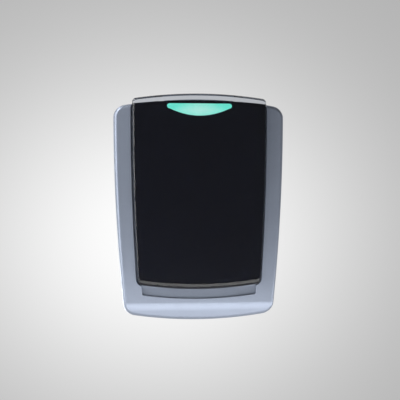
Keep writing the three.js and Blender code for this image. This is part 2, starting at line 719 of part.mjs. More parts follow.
function capacitor({ x, z, radius, height, brim, brimHeight }) {
  const base = block(x, 2 * (radius + brim), z, 2 * (radius + brim), ON_BOARD, ON_BOARD + brimHeight);
  return base.add(rod(x, z, radius, ON_BOARD, ON_BOARD + height));
}

function buzzer({ x, z, radius, height, port }) {
  const drum = rod(x, z, radius, ON_BOARD, ON_BOARD + height, 24);
  return drum.subtract(rod(x, z, port, ON_BOARD + height / 2, ON_BOARD + height + OVERCUT, 12));
}

function led(side) {
  const x = (side * LED.spacing) / 2;
  const baseFront = ON_BOARD + LED.depth * LED.baseShare;
  const base = block(x, LED.width, LIGHT_HEIGHT, LED.height, ON_BOARD, baseFront);
  const lensWidth = LED.width * LED.lensShare;
  const lensHeight = LED.height * LED.lensShare;
  return base.add(block(x, lensWidth, LIGHT_HEIGHT, lensHeight, ON_BOARD, ON_BOARD + LED.depth));
}

function lightPipe() {
  const back = ON_BOARD + LED.depth + SEAT;
  const flangeFront = FLOOR_BACK - SEAT;
  return turned(0, LIGHT_HEIGHT, [
    [0, back],
    [PIPE.radius, back],
    [PIPE.radius, flangeFront - PIPE.flange],
    [PIPE.flangeRadius, flangeFront - PIPE.flange],
    [PIPE.flangeRadius, flangeFront],
    [PIPE.radius, flangeFront],
    [PIPE.radius, FLOOR_FRONT],
    [PIPE.radius - PIPE.proud, FLOOR_FRONT + PIPE.proud],
    [0, FLOOR_FRONT + PIPE.proud],
  ]);
}

// ---------------------------------------------------------------- the terminals

const terminalX = (index) => (index - (TERMINALS.count - 1) / 2) * TERMINALS.pitch;
const TERMINALS_FRONT = BOARD_BACK - SEAT;
const TERMINALS_BACK = TERMINALS_FRONT - TERMINALS.depth;
const TERMINAL_SCREW_HEIGHT = TERMINALS.top - TERMINAL_SCREW.fromTop;
const terminalIndexes = Array.from({ length: TERMINALS.count }, (unused, index) => index);

function terminalBlock() {
  const width = TERMINALS.count * TERMINALS.pitch + 2 * TERMINALS.margin;
  const middle = TERMINALS.top - TERMINALS.height / 2;
  const body = block(0, width, middle, TERMINALS.height, TERMINALS_BACK, TERMINALS_FRONT);
  const wellBottom = TERMINALS_BACK + TERMINAL_SCREW.sink + TERMINAL_SCREW.length + SEAT;
  const wells = terminalIndexes.map((index) =>
    rod(terminalX(index), TERMINAL_SCREW_HEIGHT, TERMINAL_SCREW.well, 0, wellBottom, 12),
  );
  const entryBack = TERMINALS_BACK + TERMINAL_ENTRY.fromBack;
  const foot = TERMINALS.top - TERMINALS.height;
  const entries = terminalIndexes.map((index) =>
    block(
      terminalX(index),
      TERMINAL_ENTRY.width,
      foot,
      2 * TERMINAL_ENTRY.length,
      entryBack,
      entryBack + TERMINAL_ENTRY.depth,
    ),
  );
  return cut(body, ...wells, ...entries);
}

function terminalScrew(index) {
  const back = TERMINALS_BACK + TERMINAL_SCREW.sink;
  const x = terminalX(index);
  const body = rod(x, TERMINAL_SCREW_HEIGHT, TERMINAL_SCREW.radius, back, back + TERMINAL_SCREW.length, 12);
  const slotLength = 2 * (TERMINAL_SCREW.radius + OVERCUT);
  const slotBottom = back + TERMINAL_SCREW.slotDepth;
  return body.subtract(block(x, slotLength, TERMINAL_SCREW_HEIGHT, TERMINAL_SCREW.slot, 0, slotBottom));
}

// ---------------------------------------------------------------- the tamper detector

const cupRadius = () => SPRING.radius + SPRING.wire + FIT;

function tamperPlunger() {
  const flangeFront = PLUNGER.flangeBack + PLUNGER.flange;
  const tip = CARRIER_BACK - PLUNGER.tip;
  return turned(PLUNGER.x, PLUNGER.z, [
    [0, PLUNGER.tail],
    [PLUNGER.tailRadius, PLUNGER.tail],
    [PLUNGER.tailRadius, PLUNGER.flangeBack],
    [PLUNGER.flangeRadius, PLUNGER.flangeBack],
    [PLUNGER.flangeRadius, flangeFront],
    [PLUNGER.radius, flangeFront],
    [PLUNGER.radius, tip - PLUNGER.radius / 2],
    [PLUNGER.radius / 2, tip],
    [0, tip],
  ]);
}

class Helix extends THREE.Curve {
  constructor(radius, turns, length) {
    super();
    Object.assign(this, { radius, turns, length });
  }
  getPoint(share, target = new THREE.Vector3()) {
    const turn = 2 * Math.PI * this.turns * share;
    return target.set(this.radius * Math.cos(turn), this.radius * Math.sin(turn), this.length * share);
  }
}

function tamperSpring() {
  const back = REAR_COVER_FRONT + SEAT + SPRING.wire;
  const front = PLUNGER.flangeBack - SEAT - SPRING.wire;
  const section = new THREE.Shape(
    new THREE.EllipseCurve(0, 0, SPRING.wire, SPRING.wire).getPoints(5).slice(0, -1),
  );
  const wire = new THREE.ExtrudeGeometry(section, {
    steps: SPRING.turns * SPRING.stepsPerTurn,
    bevelEnabled: false,
    extrudePath: new Helix(SPRING.radius, SPRING.turns, front - back),
  });
  return solidOf(stood(wire, back)).translate(PLUNGER.x, 0, PLUNGER.z);
}

// The switch's lever lies behind the plunger's flange, which holds it down while the cover is shut.
function tamperSwitch() {
  const { size, height, gap, leverWidth } = SWITCH;
  const leverStart = PLUNGER.x + SPRING.radius + SPRING.wire + FIT;
  const bodyStart = PLUNGER.x + PLUNGER.flangeRadius + gap;
  const body = block(bodyStart + size / 2, size, PLUNGER.z, size, ON_BOARD, ON_BOARD + height);
  const leverEnd = bodyStart + OVERCUT;
  const leverMiddle = (leverStart + leverEnd) / 2;
  const leverFront = PLUNGER.flangeBack - SEAT;
  const lever = block(leverMiddle, leverEnd - leverStart, PLUNGER.z, leverWidth, ON_BOARD, leverFront);
  return body.add(lever);
}

// ---------------------------------------------------------------- the front cover

function coverCarrier() {
  const outer = plate(tapered(carrierEdge, CARRIER_INSET), CARRIER_BACK, CARRIER_FRONT);
  const hollow = plate(
    tapered({ ...carrierEdge, top: WINDOW.top + GUIDE_MARGIN + SEAT + CARRIER_WALL }, CARRIER_WALL),
    TRAY_FLOOR,
    CARRIER_FRONT + OVERCUT,
  );
  const lightHole = rod(0, LIGHT_HEIGHT, GUIDE_NECK, CARRIER_BACK - OVERCUT, TRAY_FLOOR + OVERCUT);
  const hinges = [HINGE.x, -HINGE.x];
  const knuckles = hinges.map((x) => crossRod(x, KNUCKLE.radius, KNUCKLE.width));
  const necks = hinges.map((x) =>
    block(x, KNUCKLE.width, HINGE.z, KNUCKLE.neck, HINGE.depth, CARRIER_BACK + CARRIER_FLOOR / 2),
  );
  const eyes = hinges.map((x) =>
    crossRod(x, HINGE.pinRadius + RUNNING, KNUCKLE.width + OVERCUT),
  );
  const mouths = hinges.map((x) =>
    block(x, KNUCKLE.width + OVERCUT, HINGE.z, KNUCKLE.mouth, HINGE.depth - 2 * KNUCKLE.radius, HINGE.depth),
  );
  const prongTip = CARRIER_BACK - PRONG.reach;
  const prongs = [PRONG.x, -PRONG.x].flatMap((x) => [
    block(x, PRONG.width, PRONG.z, PRONG.thickness, prongTip, TRAY_FLOOR - CARRIER_FLOOR / 2),
    block(
      x,
      PRONG.width,
      PRONG.z - PRONG.barb,
      PRONG.thickness,
      prongTip + PRONG.barbLength / 2,
      prongTip + PRONG.barbLength * 1.5,
    ),
  ]);
  return cut(joined(outer, ...knuckles, ...necks, ...prongs), hollow, lightHole, ...eyes, ...mouths);
}

// A clear fan that gathers light over the pipe and spreads it behind the window.
function lightGuide() {
  const margin = GUIDE_MARGIN;
  const neck = GUIDE_NECK;
  const half = [];
  const steps = 8;
  for (let i = 0; i <= steps; i += 1) {
    const turn = -Math.PI / 2 + (Math.PI / 2) * (i / steps);
    half.push([neck * Math.cos(turn), LIGHT_HEIGHT + neck * Math.sin(turn)]);
  }
  const flare = new THREE.QuadraticBezierCurve(
    new THREE.Vector2(neck, LIGHT_HEIGHT),
    new THREE.Vector2(neck, WINDOW.bottom - neck / 2),
    new THREE.Vector2(WINDOW.halfWidth + margin, WINDOW.top - 2 * WINDOW.endRadius - margin),
  );
  half.push(...flare.getPoints(steps).slice(1).map((point) => [point.x, point.y]));
  half.push([WINDOW.halfWidth + margin, WINDOW.top + margin - bowOfTray()]);
  half.push([0, WINDOW.top + margin]);
  return plate(mirrored(half), TRAY_FLOOR + SEAT, CARRIER_FRONT - SEAT / 2);
}

// How far the tray's bowed upper wall falls at the window's ends.
const bowOfTray = () =>
  MASK_TOP_RADIUS - Math.sqrt(MASK_TOP_RADIUS ** 2 - (WINDOW.halfWidth + GUIDE_MARGIN) ** 2);

function frontMask() {
  const edge = {
    ...PANEL,
    top: MASK_TOP + MASK_INSET,
    bottom: PANEL.bottom + MASK_FOOT - MASK_INSET,
    topRadius: MASK_TOP_RADIUS,
  };
  const sheet = plate(tapered(edge, MASK_INSET), MASK_BACK, MASK_FRONT);
  return sheet.subtract(plate(smile(), MASK_BACK - OVERCUT, MASK_FRONT + OVERCUT));
}

const indicatorDiffuser = () => plate(smile(WINDOW_GAP), MASK_BACK, MASK_FRONT);
const frontLens = () => bevelledPlate(tapered(PANEL), LENS_BACK, LENS_FRONT, LENS_BEVEL, 2);
const hingePin = (x) => crossRod(x, HINGE.pinRadius, HINGE.pinLength);

// ---------------------------------------------------------------- the assembly

const reader = new THREE.Group();
const mainBody = new THREE.Group();
const electronics = new THREE.Group();
const frontCover = new THREE.Group();
reader.add(mainBody, electronics, frontCover);

function addPiece(group, name, solid, finish) {
  const mesh = new THREE.Mesh(geometryOf(solid), new THREE.MeshStandardMaterial(FINISH[finish]));
  mesh.name = name;
  group.add(mesh);
}

addPiece(mainBody, "wall_gasket", wallGasket(), "foam");
addPiece(mainBody, "rear_cover", rearCover(), "darkPlastic");
addPiece(mainBody, "rear_seal", rearSeal(), "rubber");
addPiece(mainBody, "housing", housing(), "silver");
addPiece(mainBody, "hinge_pin_right", hingePin(HINGE.x), "steel");
addPiece(mainBody, "hinge_pin_left", hingePin(-HINGE.x), "steel");
REAR_SCREWS.forEach(([x, z], index) => {
  addPiece(mainBody, `rear_screw_${index + 1}`, screw(x, z, REAR_SCREW, REAR_SCREW_BACK), "steel");
});

addPiece(electronics, "circuit_board", circuitBoard(), "board");
BOARD_SCREWS.forEach(([x, z], index) => {
  addPiece(electronics, `board_screw_${index + 1}`, screw(x, z, BOARD_SCREW, BOARD_SCREW_BACK), "steel");
});
addPiece(electronics, "coil_former", coilFormer(), "palePlastic");
addPiece(electronics, "antenna_coil", antennaCoil(), "copper");
addPiece(electronics, "reader_chip", chip(READER_CHIP), "chip");
addPiece(electronics, "controller_chip", chip(CONTROLLER_CHIP), "chip");
addPiece(electronics, "crystal", crystal(CRYSTAL), "steel");
addPiece(electronics, "voltage_regulator", regulator(REGULATOR), "chip");
addPiece(electronics, "filter_capacitor", capacitor(CAPACITOR), "steel");
addPiece(electronics, "buzzer", buzzer(BUZZER), "chip");
addPiece(electronics, "led_red", led(-1), "ledRed");
addPiece(electronics, "led_green", led(1), "ledGreen");
addPiece(electronics, "light_pipe", lightPipe(), "clear");
addPiece(electronics, "terminal_block", terminalBlock(), "terminalGreen");
terminalIndexes.forEach((index) => {
  addPiece(electronics, `terminal_screw_${index + 1}`, terminalScrew(index), "steel");
});
addPiece(electronics, "tamper_switch", tamperSwitch(), "chip");
addPiece(electronics, "tamper_spring", tamperSpring(), "steel");
addPiece(electronics, "tamper_plunger", tamperPlunger(), "palePlastic");

addPiece(frontCover, "cover_carrier", coverCarrier(), "blackGloss");
addPiece(frontCover, "light_guide", lightGuide(), "clear");
addPiece(frontCover, "front_mask", frontMask(), "blackGloss");
addPiece(frontCover, "indicator_diffuser", indicatorDiffuser(), "mint");
addPiece(frontCover, "front_lens", frontLens(), "clear");

export default reader;
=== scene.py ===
import math
from types import SimpleNamespace

import bmesh
import bpy
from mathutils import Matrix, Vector

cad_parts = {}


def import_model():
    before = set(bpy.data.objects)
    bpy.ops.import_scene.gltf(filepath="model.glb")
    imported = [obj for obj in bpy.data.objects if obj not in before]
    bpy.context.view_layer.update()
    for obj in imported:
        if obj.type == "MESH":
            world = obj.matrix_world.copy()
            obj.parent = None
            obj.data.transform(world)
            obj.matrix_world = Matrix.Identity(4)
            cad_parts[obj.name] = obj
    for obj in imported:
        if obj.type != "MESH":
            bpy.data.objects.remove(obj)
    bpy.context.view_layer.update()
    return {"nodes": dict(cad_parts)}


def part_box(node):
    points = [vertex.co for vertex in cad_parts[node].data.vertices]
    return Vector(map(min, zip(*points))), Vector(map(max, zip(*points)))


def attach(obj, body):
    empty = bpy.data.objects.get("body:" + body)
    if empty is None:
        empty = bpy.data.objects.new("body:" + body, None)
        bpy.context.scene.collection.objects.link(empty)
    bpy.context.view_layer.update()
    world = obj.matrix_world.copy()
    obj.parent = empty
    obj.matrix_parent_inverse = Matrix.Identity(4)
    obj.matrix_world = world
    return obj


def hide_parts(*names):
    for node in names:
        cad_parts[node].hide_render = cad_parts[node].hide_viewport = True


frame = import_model()

MM = 0.001


# ------------------------------------------------------------------ the frame's places, in millimetres

def span(node):
    """A CAD node's box: depth is measured from the wall to the front."""
    low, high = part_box(node)
    return SimpleNamespace(
        left=low.x / MM,
        right=high.x / MM,
        back=-high.y / MM,
        front=-low.y / MM,
        bottom=low.z / MM,
        top=high.z / MM,
        x=(low.x + high.x) / 2 / MM,
        z=(low.z + high.z) / 2 / MM,
    )


housing_span = span("housing")
lens_span = span("front_lens")
mask_span = span("front_mask")
carrier_span = span("cover_carrier")
window_span = span("indicator_diffuser")
rear_cover_span = span("rear_cover")
gasket_span = span("wall_gasket")
board_span = span("circuit_board")
terminals_span = span("terminal_block")
pipe_span = span("light_pipe")
plunger_span = span("tamper_plunger")
pin_span = span("hinge_pin_right")
seal_span = span("rear_seal")

# ------------------------------------------------------------------ outlines

SEAT = 0.25  # between pieces that rest on each other
FIT = 0.3
OVERCUT = 1.0
LEAST_CORNER = 0.5

HOUSING = SimpleNamespace(
    top=54.2,
    bottom=housing_span.bottom,
    half_width=housing_span.right,
    widest_at=45.6,
    side_radius=960.0,
    top_radius=215.0,
    bottom_radius=190.0,
    top_corner=5.2,
    bottom_corner=5.0,
)
PANEL = SimpleNamespace(
    top=lens_span.top,
    bottom=lens_span.bottom,
    half_width=lens_span.right,
    widest_at=45.0,
    side_radius=1300.0,
    top_radius=215.0,
    bottom_radius=196.0,
    top_corner=1.8,
    bottom_corner=1.8,
)
MASK_TOP_RADIUS = 320.0
MASK_INSET = 1.2
CARRIER_INSET = 0.15


def changed(spec, **values):
    """A copy of an outline's values with some of them changed."""
    return SimpleNamespace(**{**vars(spec), **values})


def bow(radius, distance):
    return radius - math.sqrt(radius * radius - distance * distance)


def corner_curve(start, corner, end, steps):
    """The quarter turn between two sides that meet at a corner, as a cubic curve."""
    handle = 0.5523
    near = [s + (c - s) * handle for s, c in zip(start, corner)]
    far = [e + (c - e) * handle for e, c in zip(end, corner)]
    points = []
    for i in range(steps + 1):
        t = i / steps
        u = 1 - t
        points.append(
            tuple(
                u**3 * a + 3 * u * u * t * b + 3 * u * t * t * c + t**3 * d
                for a, b, c, d in zip(start, near, far, end)
            )
        )
    return points


def mirrored(half):
    """The right half of an outline, then its mirror image, as one closed loop."""
    return half + [(-x, z) for x, z in reversed(half) if x > 1e-6]


def tapered(spec, inset=0.0, straight=20, turn=10):
    """A tapered outline with four bowed sides, drawn in by inset."""
    side_radius = spec.side_radius - inset
    top_radius = spec.top_radius - inset
    bottom_radius = spec.bottom_radius - inset

    def side(z):
        return spec.half_width - inset - bow(side_radius, z - spec.widest_at)

    def top(x):
        return spec.top - inset - bow(top_radius, x)

    def bottom(x):
        return spec.bottom + inset + bow(bottom_radius, x)

    def meeting(edge):
        x, z = side(edge(0)), edge(0)
        for _ in range(12):
            x, z = side(z), edge(x)
        return x, z

    upper, lower = meeting(top), meeting(bottom)
    top_corner = max(spec.top_corner - inset, LEAST_CORNER)
    bottom_corner = max(spec.bottom_corner - inset, LEAST_CORNER)
    low_x = lower[0] - bottom_corner
    half = [(low_x * i / straight, bottom(low_x * i / straight)) for i in range(straight)]
    low_end = (side(lower[1] + bottom_corner), lower[1] + bottom_corner)
    half += corner_curve((low_x, bottom(low_x)), lower, low_end, turn)
    high_z = upper[1] - top_corner
    for i in range(1, straight):
        z = low_end[1] + (high_z - low_end[1]) * i / straight
        half.append((side(z), z))
    high_x = upper[0] - top_corner
    half += corner_curve((side(high_z), high_z), upper, (high_x, top(high_x)), turn)
    half += [(high_x * i / straight, top(high_x * i / straight)) for i in reversed(range(straight))]
    return mirrored(half)


def rounded(half_width, top, bottom, corner, inset=0.0, turn=8):
    """A rectangle with rounded corners, drawn in by inset."""
    x, high, low = half_width - inset, top - inset, bottom + inset
    r = max(corner - inset, LEAST_CORNER)
    half = [(0.0, low)]
    half += corner_curve((x - r, low), (x, low), (x, low + r), turn)
    half += corner_curve((x, high - r), (x, high), (x - r, high), turn)
    half.append((0.0, high))
    return mirrored(half)


def smile(inset=0.0, steps=24, turn=12):
    """The window's outline: a flat top, a bowed lower edge and rounded ends."""
    end_radius = WINDOW_END - inset
    top, bottom = WINDOW_TOP - inset, WINDOW_BOTTOM + inset
    end_x = WINDOW_HALF_WIDTH - WINDOW_END
    rise = top - 2 * end_radius - bottom
    half = [(end_x * i / steps, bottom + rise * (i / steps) ** 2) for i in range(steps)]
    for i in range(turn + 1):
        angle = -math.pi / 2 + math.pi * i / turn
        half.append((end_x + end_radius * math.cos(angle), top - end_radius + end_radius * math.sin(angle)))
    half.append((0.0, top))
    return mirrored(half)


WINDOW_GAP = 0.15
WINDOW_END = 1.4
WINDOW_EDGE = 0.08
WINDOW_TOP = window_span.top + WINDOW_GAP
WINDOW_BOTTOM = window_span.bottom - WINDOW_GAP
WINDOW_HALF_WIDTH = window_span.right + WINDOW_GAP

# ------------------------------------------------------------------ solids


def mesh_object(name, bm):
    bmesh.ops.recalc_face_normals(bm, faces=bm.faces)
    mesh = bpy.data.meshes.new(name)
    bm.to_mesh(mesh)
    bm.free()
    piece = bpy.data.objects.new(name, mesh)
    bpy.context.scene.collection.objects.link(piece)
    return piece


def loft(rings, name="solid"):
    """A closed solid through rings of (outline, depth), each with the same number of points."""
    bm = bmesh.new()
    loops = [
        [bm.verts.new((x * MM, -depth * MM, z * MM)) for x, z in outline] for outline, depth in rings
    ]
    count = len(loops[0])
    for low, high in zip(loops, loops[1:]):
        for i in range(count):
            j = (i + 1) % count
            bm.faces.new((low[i], low[j], high[j], high[i]))
    bm.faces.new(loops[0])
    bm.faces.new(list(reversed(loops[-1])))
    return mesh_object(name, bm)


def plate(outline, back, front, name="solid"):
    return loft([(outline, back), (outline, front)], name)


def block(x, width, z, height, back, front):
    left, right, low, high = x - width / 2, x + width / 2, z - height / 2, z + height / 2
    return plate([(left, low), (right, low), (right, high), (left, high)], back, front)


def circle(x, z, radius, segments=48):
    turns = [2 * math.pi * i / segments for i in range(segments)]
    return [(x + radius * math.cos(t), z + radius * math.sin(t)) for t in turns]


def rod(x, z, radius, back, front, segments=48):
    return plate(circle(x, z, radius, segments), back, front)


def turned(x, z, profile, name="solid", segments=48):
    """A turned piece along the depth, through a list of (radius, depth) between its two flat ends."""
    return loft([(circle(x, z, radius, segments), depth) for radius, depth in profile], name)


def cross_rod(x, radius, length, hinge, segments=40):
    """A round bar along X through the hinge axis."""
    bm = bmesh.new()
    ends = []
    for end in (x - length / 2, x + length / 2):
        ring = []
        for i in range(segments):
            t = 2 * math.pi * i / segments
            depth, z = hinge.depth + radius * math.cos(t), hinge.z + radius * math.sin(t)
            ring.append(bm.verts.new((end * MM, -depth * MM, z * MM)))
        ends.append(ring)
    for i in range(segments):
        j = (i + 1) % segments
        bm.faces.new((ends[0][i], ends[0][j], ends[1][j], ends[1][i]))
    bm.faces.new(ends[0])
    bm.faces.new(list(reversed(ends[1])))
    return mesh_object("solid", bm)


def fillet_steps(steps=6):
    """Shares (across, along) of a quarter round, from the side wall to the face."""
    angles = [math.pi / 2 * i / steps for i in range(steps + 1)]
    return [(1 - math.cos(a), math.sin(a)) for a in angles]


def both_edged(outline_at, back, front, fillet, steps=4):
    """A plate with both of its edges rounded: outline_at(inset) gives its outline."""
    curve = fillet_steps(steps)
    rings = [
        (outline_at(fillet * across), back + fillet - fillet * along) for across, along in reversed(curve)
    ]
    rings += [(outline_at(fillet * across), front - fillet + fillet * along) for across, along in curve]
    return loft(rings)


def flared(outline_at, back, face, flare, reach, steps=5):
    """A cutter whose opening flares where it leaves the face, so that the cut edge is rounded."""
    rings = [(outline_at(0.0), back)]
    rings += [
        (outline_at(-flare * across), face - flare + flare * along) for across, along in fillet_steps(steps)
    ]
    rings.append((outline_at(-flare), face + reach))
    return loft(rings)


def boolean(piece, others, operation):
    """Joins or cuts a piece with closed solids, which are used up."""
    for other in others:
        modifier = piece.modifiers.new("boolean", "BOOLEAN")
        modifier.operation = operation
        modifier.solver = "MANIFOLD"
        modifier.object = other
    graph = bpy.context.evaluated_depsgraph_get()
    mesh = bpy.data.meshes.new_from_object(piece.evaluated_get(graph))
    piece.modifiers.clear()
    piece.data = mesh
    for other in others:
        bpy.data.objects.remove(other)
    return piece


def cut(piece, *cutters):
    return boolean(piece, cutters, "DIFFERENCE")


def joined(piece, *others):
    return boolean(piece, others, "UNION")


def smooth(piece, angle=32.0):
    """Smooth shading that keeps flat faces flat and edges above the angle sharp."""
    mesh = piece.data
    mesh.shade_smooth()
    mesh.set_sharp_from_angle(angle=math.radians(angle))
    modifier = piece.modifiers.new("normals", "WEIGHTED_NORMAL")
    modifier.keep_sharp = True
    modifier.weight = 100
    return piece


def place(piece, name, body, slot, material, *nodes):
    """Names a finished piece, gives it its material and makes it ride on its body in place of its nodes."""
    piece.name = name
    piece.data.name = name
    piece.data.materials.clear()
    piece.data.materials.append(material)
    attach(piece, body)
    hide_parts(*nodes)
    return piece


# ------------------------------------------------------------------ materials

class Surface:
    """A node-based material: object coordinates, one Principled shader, and helpers that add nodes to it."""

    def __init__(self, name, **values):
        self.material = bpy.data.materials.new(name)
        self.material.use_nodes = True
        self.nodes = self.material.node_tree.nodes
        self.links = self.material.node_tree.links
        self.shader = next(n for n in self.nodes if n.type == "BSDF_PRINCIPLED")
        self.place = self.add("ShaderNodeTexCoord").outputs["Object"]
        for key, value in values.items():
            self.shader.inputs[key].default_value = value

    def add(self, kind, inputs=None, **settings):
        node = self.nodes.new(kind)
        for key, value in settings.items():
            setattr(node, key, value)
        for key, value in (inputs or {}).items():
            if hasattr(value, "is_output"):
                self.links.new(value, node.inputs[key])
            else:
                node.inputs[key].default_value = value
        return node

    def stretched(self, x, y, z):
        return self.add("ShaderNodeMapping", {"Vector": self.place, "Scale": (x, y, z)}).outputs["Vector"]

    def noise(self, size, detail=2.0, place=None):
        """Noise whose features are about size millimetres."""
        inputs = {"Vector": place or self.place, "Scale": 1 / (size * MM), "Detail": detail}
        return self.add("ShaderNodeTexNoise", inputs).outputs["Fac"]

    def level(self, value, low, high, start=0.3, end=0.7):
        """Maps value from start..end to low..high."""
        inputs = {"Value": value, "From Min": start, "From Max": end, "To Min": low, "To Max": high}
        return self.add("ShaderNodeMapRange", inputs).outputs["Result"]

    def maths(self, operation, a, b=0.0):
        return self.add("ShaderNodeMath", {0: a, 1: b}, operation=operation).outputs[0]

    def blend(self, share, a, b):
        node = self.add("ShaderNodeMix", data_type="RGBA")
        for index, value in ((0, share), (6, a), (7, b)):
            if hasattr(value, "is_output"):
                self.links.new(value, node.inputs[index])
            else:
                node.inputs[index].default_value = value
        return node.outputs[2]

    def edges(self, radius=0.5, start=0.02, end=0.25):
        """How near an edge is, broken up by noise, from 0 to 1."""
        bevel = self.add("ShaderNodeBevel", {"Radius": radius * MM}, samples=4).outputs["Normal"]
        flat = self.add("ShaderNodeNewGeometry").outputs["Normal"]
        facing = self.add("ShaderNodeVectorMath", {0: bevel, 1: flat}, operation="DOT_PRODUCT")
        turn = self.maths("SUBTRACT", 1.0, facing.outputs["Value"])
        wear = self.level(turn, 0.0, 1.0, start, end)
        return self.maths("MULTIPLY", wear, self.level(self.noise(1.5, 4.0), 0.15, 1.0))

    def colour(self, value):
        self.links.new(value, self.shader.inputs["Base Color"])

    def roughness(self, value):
        self.links.new(value, self.shader.inputs["Roughness"])

    def bump(self, height, strength, distance):
        inputs = {"Height": height, "Strength": strength, "Distance": distance * MM}
        node = self.add("ShaderNodeBump", inputs)
        self.links.new(node.outputs["Normal"], self.shader.inputs["Normal"])


def shade(colour, factor):
    return tuple(channel * factor for channel in colour[:3]) + (1.0,)


def plastic(name, colour, roughness, grain=0.25, depth=0.01, vary=0.05, worn=0.25, **values):
    """Moulded plastic: cloudy tone, fine mould grain, and edges rubbed lighter and smoother."""
    surface = Surface(name, **values)
    cloud = surface.level(surface.noise(9.0, 3.0), 0.0, 1.0)
    base = surface.blend(cloud, shade(colour, 1 - vary), shade(colour, 1 + vary))
    wear = surface.edges()
    share = surface.maths("MULTIPLY", wear, worn)
    pale = tuple(min(channel * 1.6 + 0.03, 0.9) for channel in colour[:3]) + (1.0,)
    surface.colour(surface.blend(share, base, pale))
    fine = surface.noise(grain, 3.0)
    rough = surface.level(surface.noise(3.0, 4.0), roughness - 0.04, roughness + 0.04)
    surface.roughness(surface.maths("SUBTRACT", rough, surface.maths("MULTIPLY", share, 0.2)))
    surface.bump(fine, 0.35, depth)
    return surface.material


def silver_paint():
    """Satin metallic paint: flakes in the colour and in the bump, and edges rubbed to a brighter tone."""
    surface = Surface("silver_paint", Metallic=SILVER_METALLIC)
    flakes = surface.add(
        "ShaderNodeTexVoronoi", {"Vector": surface.place, "Scale": 1 / (0.16 * MM)}
    ).outputs["Color"]
    sparkle = surface.add("ShaderNodeSeparateColor", {"Color": flakes}).outputs["Red"]
    cloud = surface.level(surface.noise(12.0, 3.0), 0.0, 1.0)
    base = surface.blend(cloud, shade(SILVER, 0.97), shade(SILVER, 1.03))
    flaked = surface.blend(surface.level(sparkle, 0.0, 0.35, 0.5, 1.0), base, shade(SILVER, 1.35))
    wear = surface.maths("MULTIPLY", surface.edges(0.4), 0.3)
    surface.colour(surface.blend(wear, flaked, shade(SILVER, 1.5)))
    rough = surface.level(surface.noise(4.0, 4.0), SILVER_ROUGHNESS - 0.03, SILVER_ROUGHNESS + 0.03)
    surface.roughness(surface.maths("SUBTRACT", rough, surface.maths("MULTIPLY", sparkle, 0.05)))
    uneven = surface.maths("ADD", surface.noise(0.35, 2.0), surface.maths("MULTIPLY", sparkle, 0.4))
    surface.bump(uneven, 0.2, 0.008)
    return surface.material


def clear_plastic(name, tint, roughness=0.03):
    """Polished clear plastic with faint, slightly uneven haze."""
    surface = Surface(name, **{"Transmission Weight": 1.0, "IOR": 1.49, "Base Color": tint})
    haze = surface.noise(7.0, 3.0)
    surface.roughness(surface.level(haze, roughness * 0.85, roughness * 1.15))
    return surface.material


def lit_window():
    """Frosted diffuser with a painted glow, as if lit from below its middle: palest there, greener at the
    ends and toward its top and bottom edges, with faint rays.
    """
    surface = Surface("lit_window", **{"Roughness": 0.35, "Emission Strength": GLOW_STRENGTH})
    parts = surface.add("ShaderNodeSeparateXYZ", {"Vector": surface.place})
    source = (pipe_span.z + 2.0) * MM
    across = surface.maths("DIVIDE", parts.outputs["X"], window_span.right * MM)
    along = surface.maths("SUBTRACT", parts.outputs["Z"], source)
    angle = surface.maths("ARCTAN2", parts.outputs["X"], along)
    ray_place = surface.add("ShaderNodeCombineXYZ", {"X": angle}).outputs["Vector"]
    ray_values = {"Vector": ray_place, "Scale": 9.0, "Detail": 3.0}
    rays = surface.add("ShaderNodeTexNoise", ray_values).outputs["Fac"]
    reach = surface.maths("POWER", surface.maths("ABSOLUTE", across), 1.5)
    rise = surface.maths("SUBTRACT", parts.outputs["Z"], WINDOW_BOTTOM * MM)
    height = surface.maths("DIVIDE", rise, (WINDOW_TOP - WINDOW_BOTTOM) * MM)
    # painted glow: dimmer and greener toward the window's top and bottom edges
    top_and_bottom_fade = surface.maths("MULTIPLY", surface.maths("ABSOLUTE", surface.maths("SUBTRACT", height, 0.45)), 0.9)
    edge = surface.maths("ADD", reach, top_and_bottom_fade)
    uneven = surface.maths("ADD", edge, surface.level(rays, -0.08, 0.08))
    share = surface.level(uneven, 0.0, 1.0, 0.05, 0.85)
    glow = surface.blend(share, GLOW_MIDDLE, GLOW_END)
    surface.colour(glow)
    surface.links.new(glow, surface.shader.inputs["Emission Color"])
    surface.bump(surface.noise(0.4, 2.0), 0.15, 0.01)
    return surface.material


def foam():
    """Closed-cell foam: fine pits, each painted darker toward its bottom as shade."""
    surface = Surface("foam", Roughness=0.95)
    cell_values = {"Vector": surface.place, "Scale": 1 / (0.5 * MM)}
    pit_depth_and_shade = surface.add("ShaderNodeTexVoronoi", cell_values).outputs["Distance"]
    # painted shade: each pit is coloured darker toward its bottom; the same pattern gives the pits' bump
    surface.colour(surface.blend(pit_depth_and_shade, (0.012, 0.012, 0.013, 1.0), (0.05, 0.05, 0.053, 1.0)))
    surface.roughness(surface.level(surface.noise(2.0), 0.85, 1.0))
    surface.bump(pit_depth_and_shade, 0.8, 0.12)
    return surface.material


def rubber():
    """Soft black rubber with a cloudy tone."""
    surface = Surface("seal_rubber")
    dark, pale = (0.014, 0.014, 0.015, 1.0), (0.03, 0.03, 0.032, 1.0)
    surface.colour(surface.blend(surface.noise(2.0, 4.0), dark, pale))
    surface.roughness(surface.level(surface.noise(1.0, 3.0), 0.6, 0.8))
    surface.bump(surface.noise(0.3, 3.0), 0.4, 0.02)
    return surface.material


def steel(name, colour, roughness, stretch):
    """Drawn or turned metal: fine lines along one direction, a few stains, and bright edges."""
    surface = Surface(name, Metallic=1.0)
    lines = surface.noise(0.08, 3.0, surface.stretched(*stretch))
    stain = surface.noise(3.0, 5.0)
    base = surface.blend(surface.level(stain, 0.0, 1.0), shade(colour, 0.85), shade(colour, 1.1))
    worn = surface.maths("MULTIPLY", surface.edges(0.2), 0.5)
    surface.colour(surface.blend(worn, base, shade(colour, 1.3)))
    drawn = surface.level(lines, roughness - 0.06, roughness + 0.06)
    surface.roughness(surface.maths("ADD", drawn, surface.level(stain, 0.0, 0.08)))
    surface.bump(lines, 0.2, 0.006)
    return surface.material


